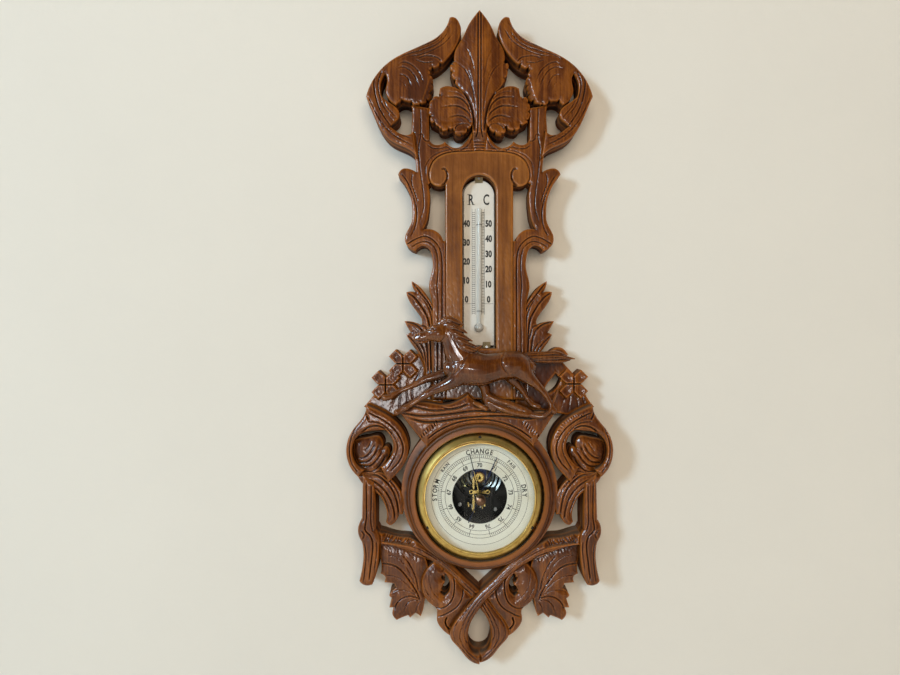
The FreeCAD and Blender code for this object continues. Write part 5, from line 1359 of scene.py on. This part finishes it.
lathe("spun_bezel", "bezel", [
    (64.7, 32.0), (64.7, 34.6), (64.2, 35.3), (63.0, 36.6), (61.5, 37.9), (60.0, 39.0), (58.6, 39.9),
    (57.8, 40.4), (57.4, 41.2), (56.9, 42.2), (56.3, 42.9), (55.7, 42.9), (55.3, 42.3), (55.3, 41.3),
    (57.6, 41.2), (57.6, 38.0), (62.3, 34.0), (62.3, 32.0)], "bezel_brass")


# ---------------------------------------------------------------------------------------------
# Stage, light and camera
# ---------------------------------------------------------------------------------------------
def stage_plane(name, corners, material):
    """A flat piece of the surroundings, which isn't part of the object."""
    mesh = bpy.data.meshes.new(name)
    mesh.from_pydata(corners, [], [(0, 1, 2, 3)])
    mesh.materials.append(material)
    placed(name, mesh)


def plaster():
    """Pale, faintly cloudy wall plaster."""
    n = Nodes("plaster")
    cloud = n.noise(n.where, 3.0, 4.0)
    fine = n.noise(n.where, 160.0, 5.0, 0.65)
    tint = n.mix(cloud, rgba(0.74, 0.71, 0.64), rgba(0.68, 0.65, 0.585))
    return n.finish(Base_Color=tint, Roughness=0.9, Normal=n.bump(fine, 0.25, 0.0009))


PLASTER = plaster()
WALL, FLOOR = 0.0005, -1.15             # the wall's face and the floor's height, in metres
stage_plane("wall", [(-3, WALL, FLOOR), (3, WALL, FLOOR), (3, WALL, 2), (-3, WALL, 2)], PLASTER)
stage_plane("floor", [(-3, -3, FLOOR), (3, -3, FLOOR), (3, WALL, FLOOR), (-3, WALL, FLOOR)], PLASTER)


def area_light(name, where, towards, size, power, colour=(1, 1, 1)):
    """A rectangular light at one place, facing another."""
    lamp = bpy.data.lights.new(name, "AREA")
    lamp.shape = "RECTANGLE"
    lamp.size, lamp.size_y = size
    lamp.energy = power
    lamp.color = colour
    obj = placed(name, lamp)
    obj.location = where
    obj.rotation_euler = (Vector(towards) - Vector(where)).to_track_quat("-Z", "Y").to_euler()
    return obj


TARGET = (0, 0, -0.18)
area_light("window", (-2.6, -2.9, 0.75), TARGET, (0.60, 0.80), 86, (0.60, 0.82, 1.0))
lamp = area_light("lamp", (0.2, -3.0, 0.9), TARGET, (2.4, 1.6), 63, (1.0, 0.85, 0.68))
lamp.visible_glossy = False
glint = area_light("glint", (-0.38, -3.0, -0.42), TARGET, (0.45, 0.40), 15)
glint.visible_diffuse = False

ROOM_COLOUR = (0.90, 0.86, 0.80, 1)
ROOM_FRONT, ROOM_SIDES = 0.05, 0.36


def room():
    """A dim room: pale towards the sides, dark straight in front of the wall."""
    world = bpy.data.worlds.new("room")
    world.use_nodes = True
    tree = world.node_tree
    background = tree.nodes["Background"]
    background.inputs["Color"].default_value = ROOM_COLOUR
    where = tree.nodes.new("ShaderNodeTexCoord")
    split = tree.nodes.new("ShaderNodeSeparateXYZ")
    fade = tree.nodes.new("ShaderNodeMapRange")
    tree.links.new(where.outputs["Generated"], split.inputs[0])
    tree.links.new(split.outputs["Y"], fade.inputs["Value"])
    for key, value in (("From Min", -0.75), ("From Max", -0.1), ("To Min", ROOM_FRONT), ("To Max",
                                                                                         ROOM_SIDES)):
        fade.inputs[key].default_value = value
    tree.links.new(fade.outputs[0], background.inputs["Strength"])
    bpy.context.scene.world = world


room()

SENSOR_WIDTH, FOCAL_LENGTH = 36, 27.04  # millimetres, a phone's main camera
CAMERA_X, CAMERA_Y, CAMERA_AWAY = -30.3, 162.1, 723   # its place on the bench, and its distance
camera_data = bpy.data.cameras.new("camera")
camera = placed("camera", camera_data)
camera_data.sensor_width = SENSOR_WIDTH
camera_data.lens = FOCAL_LENGTH
camera.location = place(CAMERA_X, CAMERA_Y, CAMERA_AWAY)
camera.rotation_euler = (math.radians(90), 0, 0)
bpy.context.scene.camera = camera
bpy.context.scene.view_settings.view_transform = "Standard"
